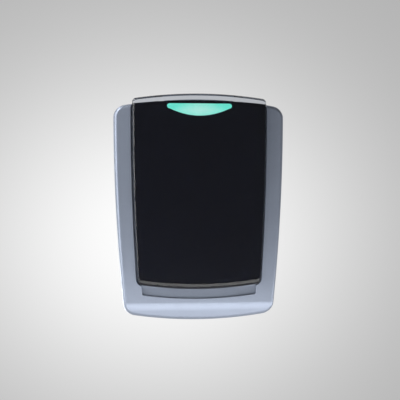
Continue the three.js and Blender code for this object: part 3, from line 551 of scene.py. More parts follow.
def copper_windings():
    """Enamelled wire wound round the former: ridges a wire apart along the depth, painted darker in the
    grooves between the wires and lighter on their crests.
    """
    surface = Surface("copper_wire", **{"Metallic": 0.9, "Coat Weight": 0.6, "Coat Roughness": 0.1})
    inputs = {"Vector": surface.place, "Scale": 1 / (0.22 * MM) / 20, "Distortion": 0.15, "Detail": 1.0}
    windings_and_groove_shade = surface.add("ShaderNodeTexWave", inputs, bands_direction="Y").outputs["Fac"]
    # painted shade and highlight: darker in the grooves between turns, lighter on their crests
    surface.colour(surface.blend(windings_and_groove_shade, (0.25, 0.08, 0.035, 1.0), (0.70, 0.30, 0.14, 1.0)))
    surface.roughness(surface.level(surface.noise(1.0), 0.25, 0.4))
    surface.bump(windings_and_groove_shade, 0.7, 0.08)
    return surface.material


def circuit_green():
    """Solder mask over glass weave and copper tracks."""
    surface = Surface("circuit_green", **{"Coat Weight": 0.3, "Coat Roughness": 0.2})
    upright = surface.add("ShaderNodeMapping", {"Vector": surface.place, "Rotation": (math.pi / 2, 0, 0)})
    inputs = {
        "Vector": upright.outputs["Vector"],
        "Scale": 1 / (14 * MM),
        "Mortar Size": 0.012,
        "Brick Width": 0.45,
        "Row Height": 0.09,
        "Color1": (0.0, 0.0, 0.0, 1.0),
        "Color2": (0.0, 0.0, 0.0, 1.0),
        "Mortar": (1.0, 1.0, 1.0, 1.0),
    }
    tracks = surface.add("ShaderNodeTexBrick", inputs).outputs["Color"]
    track = surface.add("ShaderNodeSeparateColor", {"Color": tracks}).outputs["Red"]
    weave = surface.noise(0.5, 2.0, surface.stretched(1.0, 1.0, 3.0))
    mask = surface.blend(surface.level(weave, 0.0, 1.0), (0.010, 0.085, 0.035, 1.0), (0.016, 0.12, 0.05, 1.0))
    surface.colour(surface.blend(surface.maths("MULTIPLY", track, 0.7), mask, (0.05, 0.24, 0.10, 1.0)))
    surface.roughness(surface.level(surface.noise(4.0, 3.0), 0.35, 0.5))
    surface.bump(surface.maths("ADD", track, surface.maths("MULTIPLY", weave, 0.15)), 0.4, 0.03)
    return surface.material


SILVER = (0.300, 0.340, 0.425)
SILVER_METALLIC = 0.45
SILVER_ROUGHNESS = 0.40
BLACK = (0.0130, 0.0138, 0.0250)
GLOW_MIDDLE = (0.36, 0.69, 0.57, 1.0)
GLOW_END = (0.13, 0.66, 0.505, 1.0)
GLOW_STRENGTH = 1.35

silver = silver_paint()
black_gloss = plastic("black_gloss", BLACK, 0.14, grain=1.2, depth=0.004, vary=0.1, worn=0.05)
mask_film = plastic("mask_film", BLACK, 0.22, grain=0.8, depth=0.003, vary=0.03, worn=0.0)
clear_lens = clear_plastic("clear_lens", (0.69, 0.72, 0.77, 1.0))
clear_guide = clear_plastic("clear_guide", (0.80, 0.97, 0.93, 1.0), 0.08)
glow = lit_window()
dark_plastic = plastic(
    "dark_plastic", (0.028, 0.030, 0.034), 0.58, grain=0.35, depth=0.02, vary=0.12, worn=0.5
)
pale_plastic = plastic("pale_plastic", (0.66, 0.64, 0.58), 0.5, grain=0.3, depth=0.02)
foam_pad = foam()
seal_rubber = rubber()
zinc_steel = steel("zinc_steel", (0.58, 0.59, 0.61), 0.32, (1.0, 1.0, 1.0))
pin_steel = steel("pin_steel", (0.62, 0.63, 0.65), 0.22, (0.08, 1.0, 1.0))
spring_steel = steel("spring_steel", (0.50, 0.51, 0.53), 0.28, (1.0, 1.0, 1.0))
can_aluminium = steel("can_aluminium", (0.72, 0.73, 0.75), 0.30, (1.0, 0.1, 1.0))
copper_wire = copper_windings()
board_green = circuit_green()
chip_black = plastic("chip_black", (0.016, 0.016, 0.018), 0.6, grain=0.15, depth=0.02, vary=0.15, worn=0.2)
terminal_green = plastic("terminal_green", (0.028, 0.25, 0.10), 0.42, grain=0.3, depth=0.02, worn=0.3)
led_red = plastic("led_red", (0.60, 0.05, 0.04), 0.25, worn=0.1)
LED_LIGHT = {"Emission Color": (0.12, 0.8, 0.35, 1.0), "Emission Strength": 0.6}
led_green = plastic("led_green", (0.12, 0.70, 0.25), 0.25, worn=0.1, **LED_LIGHT)

# ------------------------------------------------------------------ shared places of the pieces

FLOOR_FRONT = 13.4  # the pocket floor
FLOOR = 2.0
FACE = housing_span.front
SKIN = 2.2
WALL = 3.0
RIM = 1.5
POCKET_GAP = 0.6
POCKET_WALL = 2.0
POCKET_OPENING = 20.0
POCKET_EDGE = 0.45  # the round edge of the pocket
RECESS = SimpleNamespace(side_inset=1.6, height=5.4, depth=1.4, corner=0.8, backing=2.0)
SLOPE_HEIGHT = 7.8
SLOPE_DROP = 4.2
PIN_DEPTH = (pin_span.back + pin_span.front) / 2
HINGE = SimpleNamespace(x=pin_span.x, z=pin_span.z, depth=PIN_DEPTH, pin=0.9, length=9.0)
KNUCKLE = SimpleNamespace(width=4.2, radius=2.1, mouth=1.5, neck=3.4)
NOTCH_CLEARANCE = 0.45
HINGE_CHEEK = 4.0
PRONG = SimpleNamespace(
    x=25.0, z=PANEL.bottom + 8.0, width=4.0, thickness=1.6, reach=3.4, barb=0.25, barb_length=1.0
)
PRONG_CLEARANCE = 0.7
WALL_SCREW_TOP = 46.65
WALL_SCREW_SPACING = 83.3
WALL_SCREW = SimpleNamespace(hole=2.2, head_hole=3.8, sink=2.7, boss=5.2, travel=1.5)
REAR_SCREW = SimpleNamespace(
    radius=1.1, head_radius=2.5, head=1.0, hole=1.4, boss=3.2, sink_radius=2.8, sink=1.3, gasket_hole=3.1
)
BOARD_SCREW = SimpleNamespace(radius=1.0, head_radius=2.0, head=1.3, hole=1.3, boss=2.4)
PLUNGER = SimpleNamespace(hole=1.8, cup=3.07, cup_bore=2.37, cup_rise=1.3)
LIGHT_HOLE = 3.8
LENS_BACK = lens_span.back
LENS_FRONT = lens_span.front
CARRIER_GAP = 0.8  # between the carrier and the pocket floor
CARRIER_FLOOR = 1.4
CARRIER_WALL = 1.4
CARRIER_EDGE = 0.3
GUIDE_MARGIN = 0.2
GUIDE_NECK = 4.6

FLOOR_BACK = FLOOR_FRONT - FLOOR
ledge = seal_span.front + SEAT
light_height = pipe_span.z
wall_screw_heights = (WALL_SCREW_TOP, WALL_SCREW_TOP - WALL_SCREW_SPACING)
mask_edge = changed(
    PANEL, top=mask_span.top + MASK_INSET, bottom=mask_span.bottom - MASK_INSET, top_radius=MASK_TOP_RADIUS
)
carrier_edge = changed(PANEL, top=carrier_span.top + CARRIER_INSET, top_radius=MASK_TOP_RADIUS)
pocket_edge = changed(PANEL, top=PANEL.top + POCKET_OPENING)
recess_edge = changed(
    PANEL,
    half_width=PANEL.half_width - RECESS.side_inset,
    bottom=PANEL.bottom - RECESS.height,
    bottom_corner=RECESS.corner,
)
rear_screws = [span(f"rear_screw_{i}") for i in range(1, 5)]
board_screws = [span(f"board_screw_{i}") for i in range(1, 5)]


def wall_screw_rods(radius, back, front):
    return [rod(0, z, radius, back, front) for z in wall_screw_heights]


# ------------------------------------------------------------------ the housing

SIDE_FILLET = SimpleNamespace(across=2.0, along=2.6)
SIDE_DRAFT = 0.1  # how far the side walls lean in from back to front
BACK_CHAMFER = 0.3
SLOPE_START = 4.0  # how far ahead of the housing's back the lower slope starts to move it
RECESS_FLARE = 0.2  # the round edge of the finger recess
RECESS_STEP = 0.9  # the recess's depth at its lower edge
CREASE = 2.2  # half the height over which the face turns into the lower slope


def slope_drop(z):
    """How far back the lower band's face lies at a height."""
    start = HOUSING.bottom + SLOPE_HEIGHT
    steepness = SLOPE_DROP / SLOPE_HEIGHT
    below = start - z
    if below <= -CREASE:
        return 0.0
    if below >= CREASE:
        return steepness * below
    return steepness * (below + CREASE) ** 2 / (4 * CREASE)


def sloped(piece, back):
    """Splits a shell's front along the crease, then moves everything ahead of a depth back by the slope."""
    bm = bmesh.new()
    bm.from_mesh(piece.data)
    start = HOUSING.bottom + SLOPE_HEIGHT
    for i in range(9):
        height = start + CREASE * (i / 4 - 1)
        parts = bm.verts[:] + bm.edges[:] + bm.faces[:]
        bmesh.ops.bisect_plane(bm, geom=parts, plane_co=(0, 0, height * MM), plane_no=(0, 0, 1))
    for vert in bm.verts:
        depth = -vert.co.y / MM
        share = min(max((depth - back) / (FACE - SIDE_FILLET.along - back), 0.0), 1.0)
        vert.co.y += slope_drop(vert.co.z / MM) * share * MM
    bm.to_mesh(piece.data)
    bm.free()
    return piece


def housing_outside():
    """The housing's outer form, as a solid."""
    steps = fillet_steps(8)
    wall_front = FACE - SIDE_FILLET.along

    def outline(inset):
        return tapered(HOUSING, inset, 36, 14)

    rings = [(outline(BACK_CHAMFER), rear_cover_span.back)]
    rings.append((outline(0.0), rear_cover_span.back + BACK_CHAMFER))
    rings += [
        (outline(SIDE_DRAFT + SIDE_FILLET.across * across), wall_front + SIDE_FILLET.along * along)
        for across, along in steps
    ]
    return sloped(loft(rings), rear_cover_span.back + SLOPE_START)


def housing():
    """The shell with its pocket, finger recess, bosses, hinge cheeks and holes."""
    outer = housing_outside()
    inside = sloped(plate(tapered(HOUSING, WALL), ledge - OVERCUT, FACE - SKIN), ledge)
    rabbet = plate(tapered(HOUSING, RIM), rear_cover_span.back - OVERCUT, ledge)
    shell = cut(housing_outside(), inside, rabbet)

    tub = plate(tapered(pocket_edge, -POCKET_GAP - POCKET_WALL), FLOOR_BACK, FACE)
    recess_back = FACE - RECESS.depth
    backing = plate(tapered(recess_edge, -RECESS.backing), recess_back - RECESS.backing, FACE)
    cheek_foot = HINGE.z - KNUCKLE.radius - 2 * NOTCH_CLEARANCE
    cheek_back = HINGE.depth - KNUCKLE.radius - 2 * NOTCH_CLEARANCE
    cheek_width = KNUCKLE.width + 2 * HINGE_CHEEK
    cheek_height = HOUSING.top - cheek_foot
    cheeks = [
        block(x, cheek_width, cheek_foot + cheek_height / 2, cheek_height, cheek_back, FLOOR_FRONT)
        for x in (HINGE.x, -HINGE.x)
    ]
    bosses = wall_screw_rods(WALL_SCREW.boss, ledge - SEAT, FLOOR_FRONT)
    bosses += [rod(s.x, s.z, REAR_SCREW.boss, ledge - SEAT, FACE - SKIN / 2) for s in rear_screws]
    bosses += [
        rod(s.x, s.z, BOARD_SCREW.boss, board_span.front + SEAT, FLOOR_FRONT - FLOOR / 2)
        for s in board_screws
    ]
    inner = joined(tub, backing, *cheeks, *bosses)
    inner = boolean(inner, [outer], "INTERSECT")
    seal_room = cut(
        plate(tapered(HOUSING, RIM), rear_cover_span.back - OVERCUT, ledge),
        plate(tapered(HOUSING, WALL), 0, ledge + OVERCUT),
    )
    shell = joined(shell, cut(inner, seal_room))

    pocket = flared(
        lambda inset: tapered(pocket_edge, inset - POCKET_GAP), FLOOR_FRONT, FACE, POCKET_EDGE, OVERCUT
    )
    notch_height = PANEL.top - HINGE.z + KNUCKLE.radius + NOTCH_CLEARANCE
    notches = [
        block(
            x,
            KNUCKLE.width + 2 * NOTCH_CLEARANCE,
            PANEL.top - notch_height / 2,
            notch_height,
            HINGE.depth - KNUCKLE.radius - NOTCH_CLEARANCE,
            FACE,
        )
        for x in (HINGE.x, -HINGE.x)
    ]
    bores = [cross_rod(x, HINGE.pin + SEAT, HINGE.length + 2 * SEAT, HINGE) for x in (HINGE.x, -HINGE.x)]
    slots = [
        block(
            x,
            PRONG.width + 2 * PRONG_CLEARANCE,
            PRONG.z,
            PRONG.thickness + 2 * PRONG_CLEARANCE,
            FLOOR_BACK - OVERCUT,
            FACE,
        )
        for x in (PRONG.x, -PRONG.x)
    ]
    holes = wall_screw_rods(WALL_SCREW.hole, 0, FACE)
    holes += wall_screw_rods(WALL_SCREW.head_hole, FLOOR_FRONT - WALL_SCREW.sink, FACE)
    holes += [rod(s.x, s.z, REAR_SCREW.hole, 0, s.front + OVERCUT) for s in rear_screws]
    holes += [rod(s.x, s.z, BOARD_SCREW.hole, 0, s.front + FIT) for s in board_screws]
    holes.append(rod(0, light_height, LIGHT_HOLE, FLOOR_BACK - OVERCUT, FACE))
    holes.append(rod(plunger_span.x, plunger_span.z, PLUNGER.hole, FLOOR_BACK - OVERCUT, FACE))
    piece = cut(shell, pocket, recess_cutter(), top_relief(), *notches, *bores, *slots, *holes)
    return place(smooth(piece), "housing_shell", "reader", "silver_plastic", silver, "housing")


def recess_cutter():
    """The finger recess: deepest below the cover, and running out to a small step at its lower edge."""
    cutter = flared(
        lambda inset: tapered(recess_edge, inset + RECESS_FLARE),
        FACE - RECESS.depth,
        FACE,
        RECESS_FLARE,
        OVERCUT,
        3,
    )
    bm = bmesh.new()
    bm.from_mesh(cutter.data)
    parts = bm.verts[:] + bm.edges[:] + bm.faces[:]
    bmesh.ops.bisect_plane(bm, geom=parts, plane_co=(0, 0, PANEL.bottom * MM), plane_no=(0, 0, 1))
    for vert in bm.verts:
        if -vert.co.y / MM < FACE - RECESS_FLARE - LEAST_CORNER:
            share = min(max((PANEL.bottom - vert.co.z / MM) / RECESS.height, 0.0), 1.0)
            vert.co.y -= (RECESS.depth - RECESS_STEP) * share * MM
    bm.to_mesh(cutter.data)
    bm.free()
    return cutter


def top_relief():
    """The chamfer along the pocket floor's top edge that lets the cover swing back."""
    drop, depth = 1.8, 1.2
    reach = PANEL.half_width
    bm = bmesh.new()
    far = HOUSING.top + POCKET_WALL
    slope = depth / drop
    profile = [
        (FLOOR_FRONT + OVERCUT, HOUSING.top - drop),
        (FLOOR_FRONT, HOUSING.top - drop),
        (FLOOR_FRONT - slope * (far - HOUSING.top + drop), far),
        (FLOOR_FRONT + OVERCUT, far),
    ]
    ends = [[bm.verts.new((x * MM, -d * MM, z * MM)) for d, z in profile] for x in (-reach, reach)]
    for i in range(4):
        j = (i + 1) % 4
        bm.faces.new((ends[0][i], ends[0][j], ends[1][j], ends[1][i]))
    bm.faces.new(ends[0])
    bm.faces.new(list(reversed(ends[1])))
    return mesh_object("relief", bm)


housing()

# ------------------------------------------------------------------ the front cover

LENS_RIM = SimpleNamespace(across=1.2, foot=1.5, outer=0.98, inner=0.49, round=0.06, back=0.1)


def front_lens():
    """The clear plate: an upright edge, a steep outer facet and a flatter inner one, wider at the foot."""

    def outline(share):
        edge = changed(PANEL, bottom=PANEL.bottom + LENS_RIM.foot * share)
        return tapered(edge, LENS_RIM.across * share, 40, 14)

    lip = LENS_FRONT - LENS_RIM.outer - LENS_RIM.inner
    middle = LENS_FRONT - LENS_RIM.inner
    r = LENS_RIM.round
    rings = [(tapered(PANEL, LENS_RIM.back, 40, 14), LENS_BACK), (outline(0.0), LENS_BACK + LENS_RIM.back)]
    rings.append((outline(0.0), lip - r))
    rings += [(outline(r), lip + r), (outline(0.5 - r), middle - r), (outline(0.5 + r), middle + r / 2)]
    rings += [(outline(1.0 - r), LENS_FRONT - r / 2), (outline(1.0 + r), LENS_FRONT)]
    return place(smooth(loft(rings), 12), "lens_plate", "cover", "clear_lens", clear_lens, "front_lens")


def front_mask():
    """The black film behind the plate, with the window cut in it."""
    piece = cut(
        plate(tapered(mask_edge, MASK_INSET, 30, 10), mask_span.back, mask_span.front),
        plate(smile(), mask_span.back - OVERCUT, mask_span.front + OVERCUT),
    )
    return place(smooth(piece), "mask_sheet", "cover", "mask_film", mask_film, "front_mask")


def indicator():
    """The lit window, set in the mask."""
    outline = lambda inset: smile(WINDOW_GAP + inset)
    piece = both_edged(outline, window_span.back, window_span.front, WINDOW_EDGE, steps=3)
    return place(smooth(piece), "indicator_window", "cover", "lit_window", glow, "indicator_diffuser")


def cover_carrier():
    """The black tray that holds the plate, with its two hinge hooks and its two snap prongs."""
    back = FLOOR_FRONT + CARRIER_GAP
    tray_floor = back + CARRIER_FLOOR

    def outline(inset):
        return tapered(carrier_edge, CARRIER_INSET + inset, 30, 10)

    outer = both_edged(outline, back, carrier_span.front, CARRIER_EDGE)
    hollow_edge = changed(carrier_edge, top=WINDOW_TOP + GUIDE_MARGIN + SEAT + CARRIER_WALL)
    hollow = plate(tapered(hollow_edge, CARRIER_WALL), tray_floor, carrier_span.front + OVERCUT)
    parts, holes = [], [hollow, rod(0, light_height, GUIDE_NECK, back - OVERCUT, tray_floor + OVERCUT)]
    mouth_back = HINGE.depth - 2 * KNUCKLE.radius
    for x in (HINGE.x, -HINGE.x):
        parts.append(cross_rod(x, KNUCKLE.radius, KNUCKLE.width, HINGE))
        parts.append(block(x, KNUCKLE.width, HINGE.z, KNUCKLE.neck, HINGE.depth, back + CARRIER_FLOOR / 2))
        holes.append(cross_rod(x, HINGE.pin + FIT, KNUCKLE.width + OVERCUT, HINGE))
        holes.append(block(x, KNUCKLE.width + OVERCUT, HINGE.z, KNUCKLE.mouth, mouth_back, HINGE.depth))
    tip = back - PRONG.reach
    barb_back = tip + PRONG.barb_length / 2
    barb_front = barb_back + PRONG.barb_length
    barb_z = PRONG.z - PRONG.barb
    for x in (PRONG.x, -PRONG.x):
        parts.append(block(x, PRONG.width, PRONG.z, PRONG.thickness, tip, tray_floor - CARRIER_FLOOR / 2))
        parts.append(block(x, PRONG.width, barb_z, PRONG.thickness, barb_back, barb_front))
    piece = cut(joined(outer, *parts), *holes)
    return place(smooth(piece), "carrier_tray", "cover", "black_gloss", black_gloss, "cover_carrier")


front_lens()
front_mask()
indicator()
cover_carrier()

# ------------------------------------------------------------------ the back

WIRING = SimpleNamespace(half_width=14.0, top=-5.0, bottom=-25.0, corner=2.0, frame=1.2)
REAR_COVER = SimpleNamespace(thickness=2.0, edge=0.35, overlap=0.2)
GASKET_EDGE = 0.2
THREAD = SimpleNamespace(pitch=0.6, depth=0.14, start=0.15, rise=0.2, crest=0.35, fall=0.42, tip=0.15)
HEAD = SimpleNamespace(flat=0.62, crown=0.55, recess_length=1.1, recess_width=0.26, recess_depth=0.6)
TERMINALS = SimpleNamespace(
    count=6,
    pitch=3.5,
    screw_from_top=2.8,
    edge=0.2,
    corner=0.5,
    well=1.45,
    well_depth=2.75,
    entry_width=2.3,
    entry_height=8.0,
    entry_back=1.0,
    entry_front=3.2,
    groove_width=0.25,
    groove_depth=0.3,
)


def wiring(inset=0.0):
    return rounded(WIRING.half_width, WIRING.top, WIRING.bottom, WIRING.corner, inset)


def back_outline(inset):
    return tapered(HOUSING, RIM + inset, 30, 10)


def rear_cover():
    """The rear plate, with the wiring window's frame, the spring's cup, and the holes for the screws."""
    back, front = rear_cover_span.back, rear_cover_span.back + REAR_COVER.thickness
    sheet = both_edged(lambda inset: back_outline(FIT + inset), back, front, REAR_COVER.edge)
    frame_wall = plate(wiring(-WIRING.frame), back + REAR_COVER.overlap, rear_cover_span.front)
    cup_front = front + PLUNGER.cup_rise
    cup = rod(plunger_span.x, plunger_span.z, PLUNGER.cup, back + REAR_COVER.overlap, cup_front)
    holes = [plate(wiring(), 0, rear_cover_span.front + OVERCUT)]
    top_z, low_z = wall_screw_heights
    holes.append(rod(0, top_z, WALL_SCREW.hole, 0, ledge))
    holes.append(block(0, 2 * WALL_SCREW.hole, low_z, 2 * WALL_SCREW.travel, 0, ledge))
    holes += [
        rod(0, low_z + shift, WALL_SCREW.hole, 0, ledge) for shift in (WALL_SCREW.travel, -WALL_SCREW.travel)
    ]
    holes.append(rod(plunger_span.x, plunger_span.z, PLUNGER.cup_bore, front, ledge + PLUNGER.cup_rise))
    for s in rear_screws:
        holes.append(rod(s.x, s.z, REAR_SCREW.hole, 0, ledge))
        holes.append(rod(s.x, s.z, REAR_SCREW.sink_radius, 0, back + REAR_SCREW.sink))
    piece = cut(joined(sheet, frame_wall, cup), *holes)
    return place(smooth(piece), "rear_plate", "reader", "dark_plastic", dark_plastic, "rear_cover")


def wall_gasket():
    """The foam pad against the wall, open at the wiring window and at every screw."""
    sheet = both_edged(back_outline, 0, gasket_span.front, GASKET_EDGE)
    front = gasket_span.front + OVERCUT
    holes = wall_screw_rods(WALL_SCREW.head_hole, -OVERCUT, front)
    holes += [rod(s.x, s.z, REAR_SCREW.gasket_hole, -OVERCUT, front) for s in rear_screws]
    piece = cut(sheet, plate(wiring(-OVERCUT), -OVERCUT, front), *holes)
    return place(smooth(piece), "foam_pad", "reader", "foam", foam_pad, "wall_gasket")


def screw(node, kind):
    """A pan-head screw with a rounded crown, a cross recess and a threaded shank."""
    s = span(node)
    radius, wide = kind.radius, kind.head_radius
    head_front = s.back + kind.head
    profile = [(wide * HEAD.flat, s.back)]
    profile += [
        (wide * (HEAD.flat + (1 - HEAD.flat) * along), s.back + kind.head * HEAD.crown * across)
        for across, along in fillet_steps(5)
    ]
    profile += [(wide, head_front), (radius, head_front)]
    turns = int((s.front - head_front - radius) / THREAD.pitch)
    for i in range(turns):
        start = head_front + THREAD.start + i * THREAD.pitch
        profile += [(radius - THREAD.depth, start), (radius - THREAD.depth, start + THREAD.rise)]
        profile += [(radius, start + THREAD.crest), (radius, start + THREAD.fall)]
    profile += [(radius - THREAD.depth, s.front - radius), (THREAD.tip, s.front)]
    piece = turned(s.x, s.z, profile, segments=32)
    long, thin = wide * HEAD.recess_length, wide * HEAD.recess_width
    depth = s.back + kind.head * HEAD.recess_depth
    piece = cut(
        piece,
        block(s.x, long, s.z, thin, s.back - OVERCUT, depth),
        block(s.x, thin, s.z, long, s.back - OVERCUT, depth),
    )
    return place(smooth(piece), node.replace("screw", "screw_part"), "reader", "steel", zinc_steel, node)


def terminal_block():
    """The green block: a well over each screw, an entry for each wire, and a groove between the ways."""
    s, t = terminals_span, TERMINALS
    centres = [(i - (t.count - 1) / 2) * t.pitch for i in range(t.count)]
    body = both_edged(
        lambda inset: rounded(s.right, s.top, s.bottom, t.corner, inset, 3), s.back, s.front, t.edge
    )
    holes = []
    for x in centres:
        holes.append(rod(x, s.top - t.screw_from_top, t.well, 0, s.back + t.well_depth, 32))
        entry_back, entry_front = s.back + t.entry_back, s.back + t.entry_front
        holes.append(block(x, t.entry_width, s.bottom, t.entry_height, entry_back, entry_front))
    tall = s.top - s.bottom + OVERCUT
    for x in [c + t.pitch / 2 for c in centres[:-1]]:
        holes.append(block(x, t.groove_width, s.z, tall, s.back - OVERCUT, s.back + t.groove_depth))
    piece = smooth(cut(body, *holes))
    return place(piece, "terminal_body", "reader", "terminal_green", terminal_green, "terminal_block")


CLAMP_SCREW = SimpleNamespace(crown=0.8, rise=0.25, foot=0.9, foot_rise=0.1, slot=(4.5, 0.5, 0.6))


def terminal_screw(node):
    """A slotted clamping screw."""
    s, c = span(node), CLAMP_SCREW
    radius = s.right - s.x
    profile = [(radius * c.crown, s.back), (radius, s.back + c.rise)]
    profile += [(radius, s.front - c.foot_rise), (radius * c.foot, s.front)]
    length, width, depth = c.slot
    slot = block(s.x, length, s.z, width, s.back - OVERCUT, s.back + depth)
    piece = cut(turned(s.x, s.z, profile, segments=32), slot)
    return place(smooth(piece), node.replace("screw", "clamp_screw"), "reader", "steel", zinc_steel, node)


rear_cover()
wall_gasket()
for i in range(1, 5):
    screw(f"rear_screw_{i}", REAR_SCREW)
    screw(f"board_screw_{i}", BOARD_SCREW)
terminal_block()
for i in range(1, TERMINALS.count + 1):
    terminal_screw(f"terminal_screw_{i}")

# ------------------------------------------------------------------ pieces that keep their CAD shape

NODE_MATERIALS = {
    "rear_seal": seal_rubber,
    "hinge_pin_left": pin_steel,
    "hinge_pin_right": pin_steel,
    "circuit_board": board_green,
    "coil_former": pale_plastic,
    "antenna_coil": copper_wire,
    "reader_chip": chip_black,
    "controller_chip": chip_black,
    "crystal": can_aluminium,
    "voltage_regulator": chip_black,
    "filter_capacitor": can_aluminium,
    "buzzer": chip_black,
    "led_red": led_red,
    "led_green": led_green,
    "light_pipe": clear_guide,
    "light_guide": clear_guide,
    "tamper_switch": chip_black,
    "tamper_spring": spring_steel,
    "tamper_plunger": pale_plastic,
}
for node, material in NODE_MATERIALS.items():
    piece = frame["nodes"][node]
    piece.data.materials.clear()
    piece.data.materials.append(material)

# ------------------------------------------------------------------ floor and backdrop


# In metres.
SWEEP = SimpleNamespace(floor_z=-0.62, wall_y=0.90, bend=0.20, near=-1.6, half_width=2.4, top=1.8, steps=24)


def backdrop():
    """A pale sweep: the floor, a quarter turn and an upright wall, all far from the object."""
    b = SWEEP
    profile = [(b.near, b.floor_z), (b.wall_y - b.bend, b.floor_z)]
    profile += [
        (b.wall_y - b.bend + b.bend * math.sin(a), b.floor_z + b.bend - b.bend * math.cos(a))
        for a in [math.pi / 2 * i / b.steps for i in range(1, b.steps + 1)]
    ]
    profile.append((b.wall_y, b.top))
    bm = bmesh.new()
    rows = [[bm.verts.new((x, y, z)) for y, z in profile] for x in (-b.half_width, b.half_width)]
    for i in range(len(profile) - 1):
        bm.faces.new((rows[0][i], rows[0][i + 1], rows[1][i + 1], rows[1][i]))
    mesh = bpy.data.meshes.new("sweep")
    bm.to_mesh(mesh)
    bm.free()
    mesh.shade_smooth()
    piece = bpy.data.objects.new("sweep", mesh)
    bpy.context.scene.collection.objects.link(piece)
    piece.data.materials.append(backdrop_painted_glow())


def backdrop_painted_glow():
    """Pale paint for the light's sake; seen straight, mirrored or through the lens, a painted glow: a soft
    pool of light, brightest near GLOW_CENTRE and fading to BACKDROP_EDGE.
    """
    surface = Surface("backdrop_painted_glow", **{"Base Color": (0.80, 0.80, 0.80, 1.0), "Roughness": 0.9})
    parts = surface.add("ShaderNodeSeparateXYZ", {"Vector": surface.place})
    # painted glow: a pool of light on the sweep, from BACKDROP_MIDDLE at GLOW_CENTRE out to BACKDROP_EDGE
    away = []
    for axis, centre, reach in (("X", GLOW_CENTRE[0], GLOW_REACH[0]), ("Z", GLOW_CENTRE[1], GLOW_REACH[1])):
        offset = surface.maths("DIVIDE", surface.maths("SUBTRACT", parts.outputs[axis], centre), reach)
        away.append(surface.maths("MULTIPLY", offset, offset))
    fade = surface.maths("EXPONENT", surface.maths("MULTIPLY", surface.maths("ADD", away[0], away[1]), -1.0))
    tone = surface.blend(fade, BACKDROP_EDGE, BACKDROP_MIDDLE)
    painted_glow = surface.add("ShaderNodeEmission", {"Color": tone}).outputs[0]
    seen = surface.add("ShaderNodeLightPath").outputs
    not_diffuse = surface.maths("MAXIMUM", seen["Is Transmission Ray"], seen["Is Glossy Ray"])
    direct = surface.maths("MAXIMUM", seen["Is Camera Ray"], not_diffuse)
    mix = surface.add("ShaderNodeMixShader")
    surface.links.new(direct, mix.inputs[0])
    surface.links.new(surface.shader.outputs[0], mix.inputs[1])
    surface.links.new(painted_glow, mix.inputs[2])
    output = next(n for n in surface.nodes if n.type == "OUTPUT_MATERIAL")
    surface.links.new(mix.outputs[0], output.inputs["Surface"])
    return surface.material


# Where the painted glow on the sweep is brightest and how far it reaches, in metres, and its middle and edge
# tones.
GLOW_CENTRE = (-0.002, -0.087)
GLOW_REACH = (0.373, 0.315)
BACKDROP_MIDDLE = (1.0, 1.0, 1.0, 1.0)
BACKDROP_EDGE = (0.444, 0.444, 0.444, 1.0)

backdrop()

# ------------------------------------------------------------------ world, lamps and camera

AIM = Vector((0.00035, -0.017, 0.0034))
AZIMUTH = -4.5
ELEVATION = 1.5
DISTANCE = 0.35
VIEW_WIDTH = 0.2006  # metres across the picture at the aim point


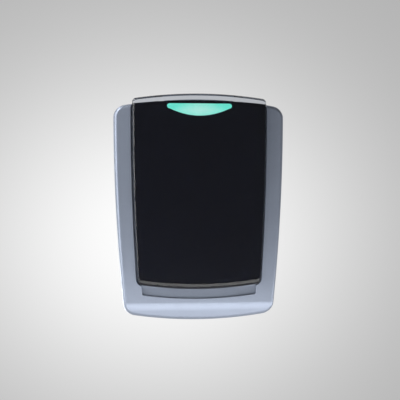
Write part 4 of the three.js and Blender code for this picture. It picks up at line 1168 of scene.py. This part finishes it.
def world():
    """Dim light from all round, with more of it added from some directions; the camera sees a pale grey."""
    scene_world = bpy.data.worlds.new("studio")
    scene_world.use_nodes = True
    bpy.context.scene.world = scene_world
    nodes, links = scene_world.node_tree.nodes, scene_world.node_tree.links
    background = next(n for n in nodes if n.type == "BACKGROUND")
    background.inputs["Color"].default_value = (1.0, 1.0, 1.0, 1.0)
    direction = nodes.new("ShaderNodeTexCoord").outputs["Generated"]
    parts = nodes.new("ShaderNodeSeparateXYZ")
    links.new(direction, parts.inputs[0])
    total = None
    for axis, start, end, extra in WORLD_PARTS:
        level = nodes.new("ShaderNodeMapRange")
        level.interpolation_type = "SMOOTHSTEP"
        for key, value in (("From Min", start), ("From Max", end), ("To Max", extra)):
            level.inputs[key].default_value = value
        links.new(parts.outputs[axis], level.inputs["Value"])
        both = nodes.new("ShaderNodeMath")
        both.inputs[0].default_value = WORLD_BASE
        if total is not None:
            links.new(total, both.inputs[0])
        links.new(level.outputs[0], both.inputs[1])
        total = both.outputs[0]
    ray = nodes.new("ShaderNodeLightPath").outputs
    share = nodes.new("ShaderNodeMix")
    share.inputs[3].default_value = WORLD_SEEN
    links.new(ray["Is Camera Ray"], share.inputs[0])
    links.new(total, share.inputs[2])
    links.new(share.outputs[0], background.inputs["Strength"])


def lamp(name, position, width, height, power):
    data = bpy.data.lights.new(name, "AREA")
    data.shape = "RECTANGLE"
    data.size, data.size_y, data.energy = width, height, power
    piece = bpy.data.objects.new(name, data)
    bpy.context.scene.collection.objects.link(piece)
    piece.location = Vector(position)
    piece.rotation_mode = "QUATERNION"
    piece.rotation_quaternion = (AIM - piece.location).to_track_quat("-Z", "Y")


def camera():
    data = bpy.data.cameras.new("camera")
    data.sensor_width = 36.0
    data.lens = data.sensor_width * DISTANCE / VIEW_WIDTH
    piece = bpy.data.objects.new("camera", data)
    bpy.context.scene.collection.objects.link(piece)
    a, e = math.radians(AZIMUTH), math.radians(ELEVATION)
    away = Vector((math.sin(a) * math.cos(e), -math.cos(a) * math.cos(e), math.sin(e)))
    piece.location = AIM + away * DISTANCE
    piece.rotation_mode = "QUATERNION"
    piece.rotation_quaternion = (-away).to_track_quat("-Z", "Y")
    bpy.context.scene.camera = piece


WORLD_BASE = 0.066
WORLD_SEEN = 0.444  # what the camera sees past the sweep, the same tone as its far parts
# The direction's part, where along it the extra light starts and is full, and how much it is.
WORLD_PARTS = (
    ("Y", 0.0, 0.7, 0.35),
    ("Z", 0.0, -0.8, 0.09),
)
# Name, place, width, height and power.
LAMPS = (
    ("low_front", (0.0, -0.13, -0.19), 0.36, 0.11, 0.29),
    ("low_near", (0.0, -0.20, -0.13), 0.36, 0.08, 0.26),
    ("low_right", (0.20, -0.06, -0.13), 0.12, 0.12, 0.16),
    ("key_left", (-0.20, -0.09, 0.05), 0.12, 0.34, 0.43),
    ("key_top", (-0.16, -0.16, 0.16), 0.12, 0.12, 0.12),
    ("top_left", (-0.17, -0.02, 0.24), 0.16, 0.08, 0.25),
    ("behind", (-0.35, 0.40, -0.25), 0.3, 0.3, 1.8),
)

world()
for values in LAMPS:
    lamp(*values)
camera()

scene = bpy.context.scene
scene.view_settings.view_transform = "Standard"
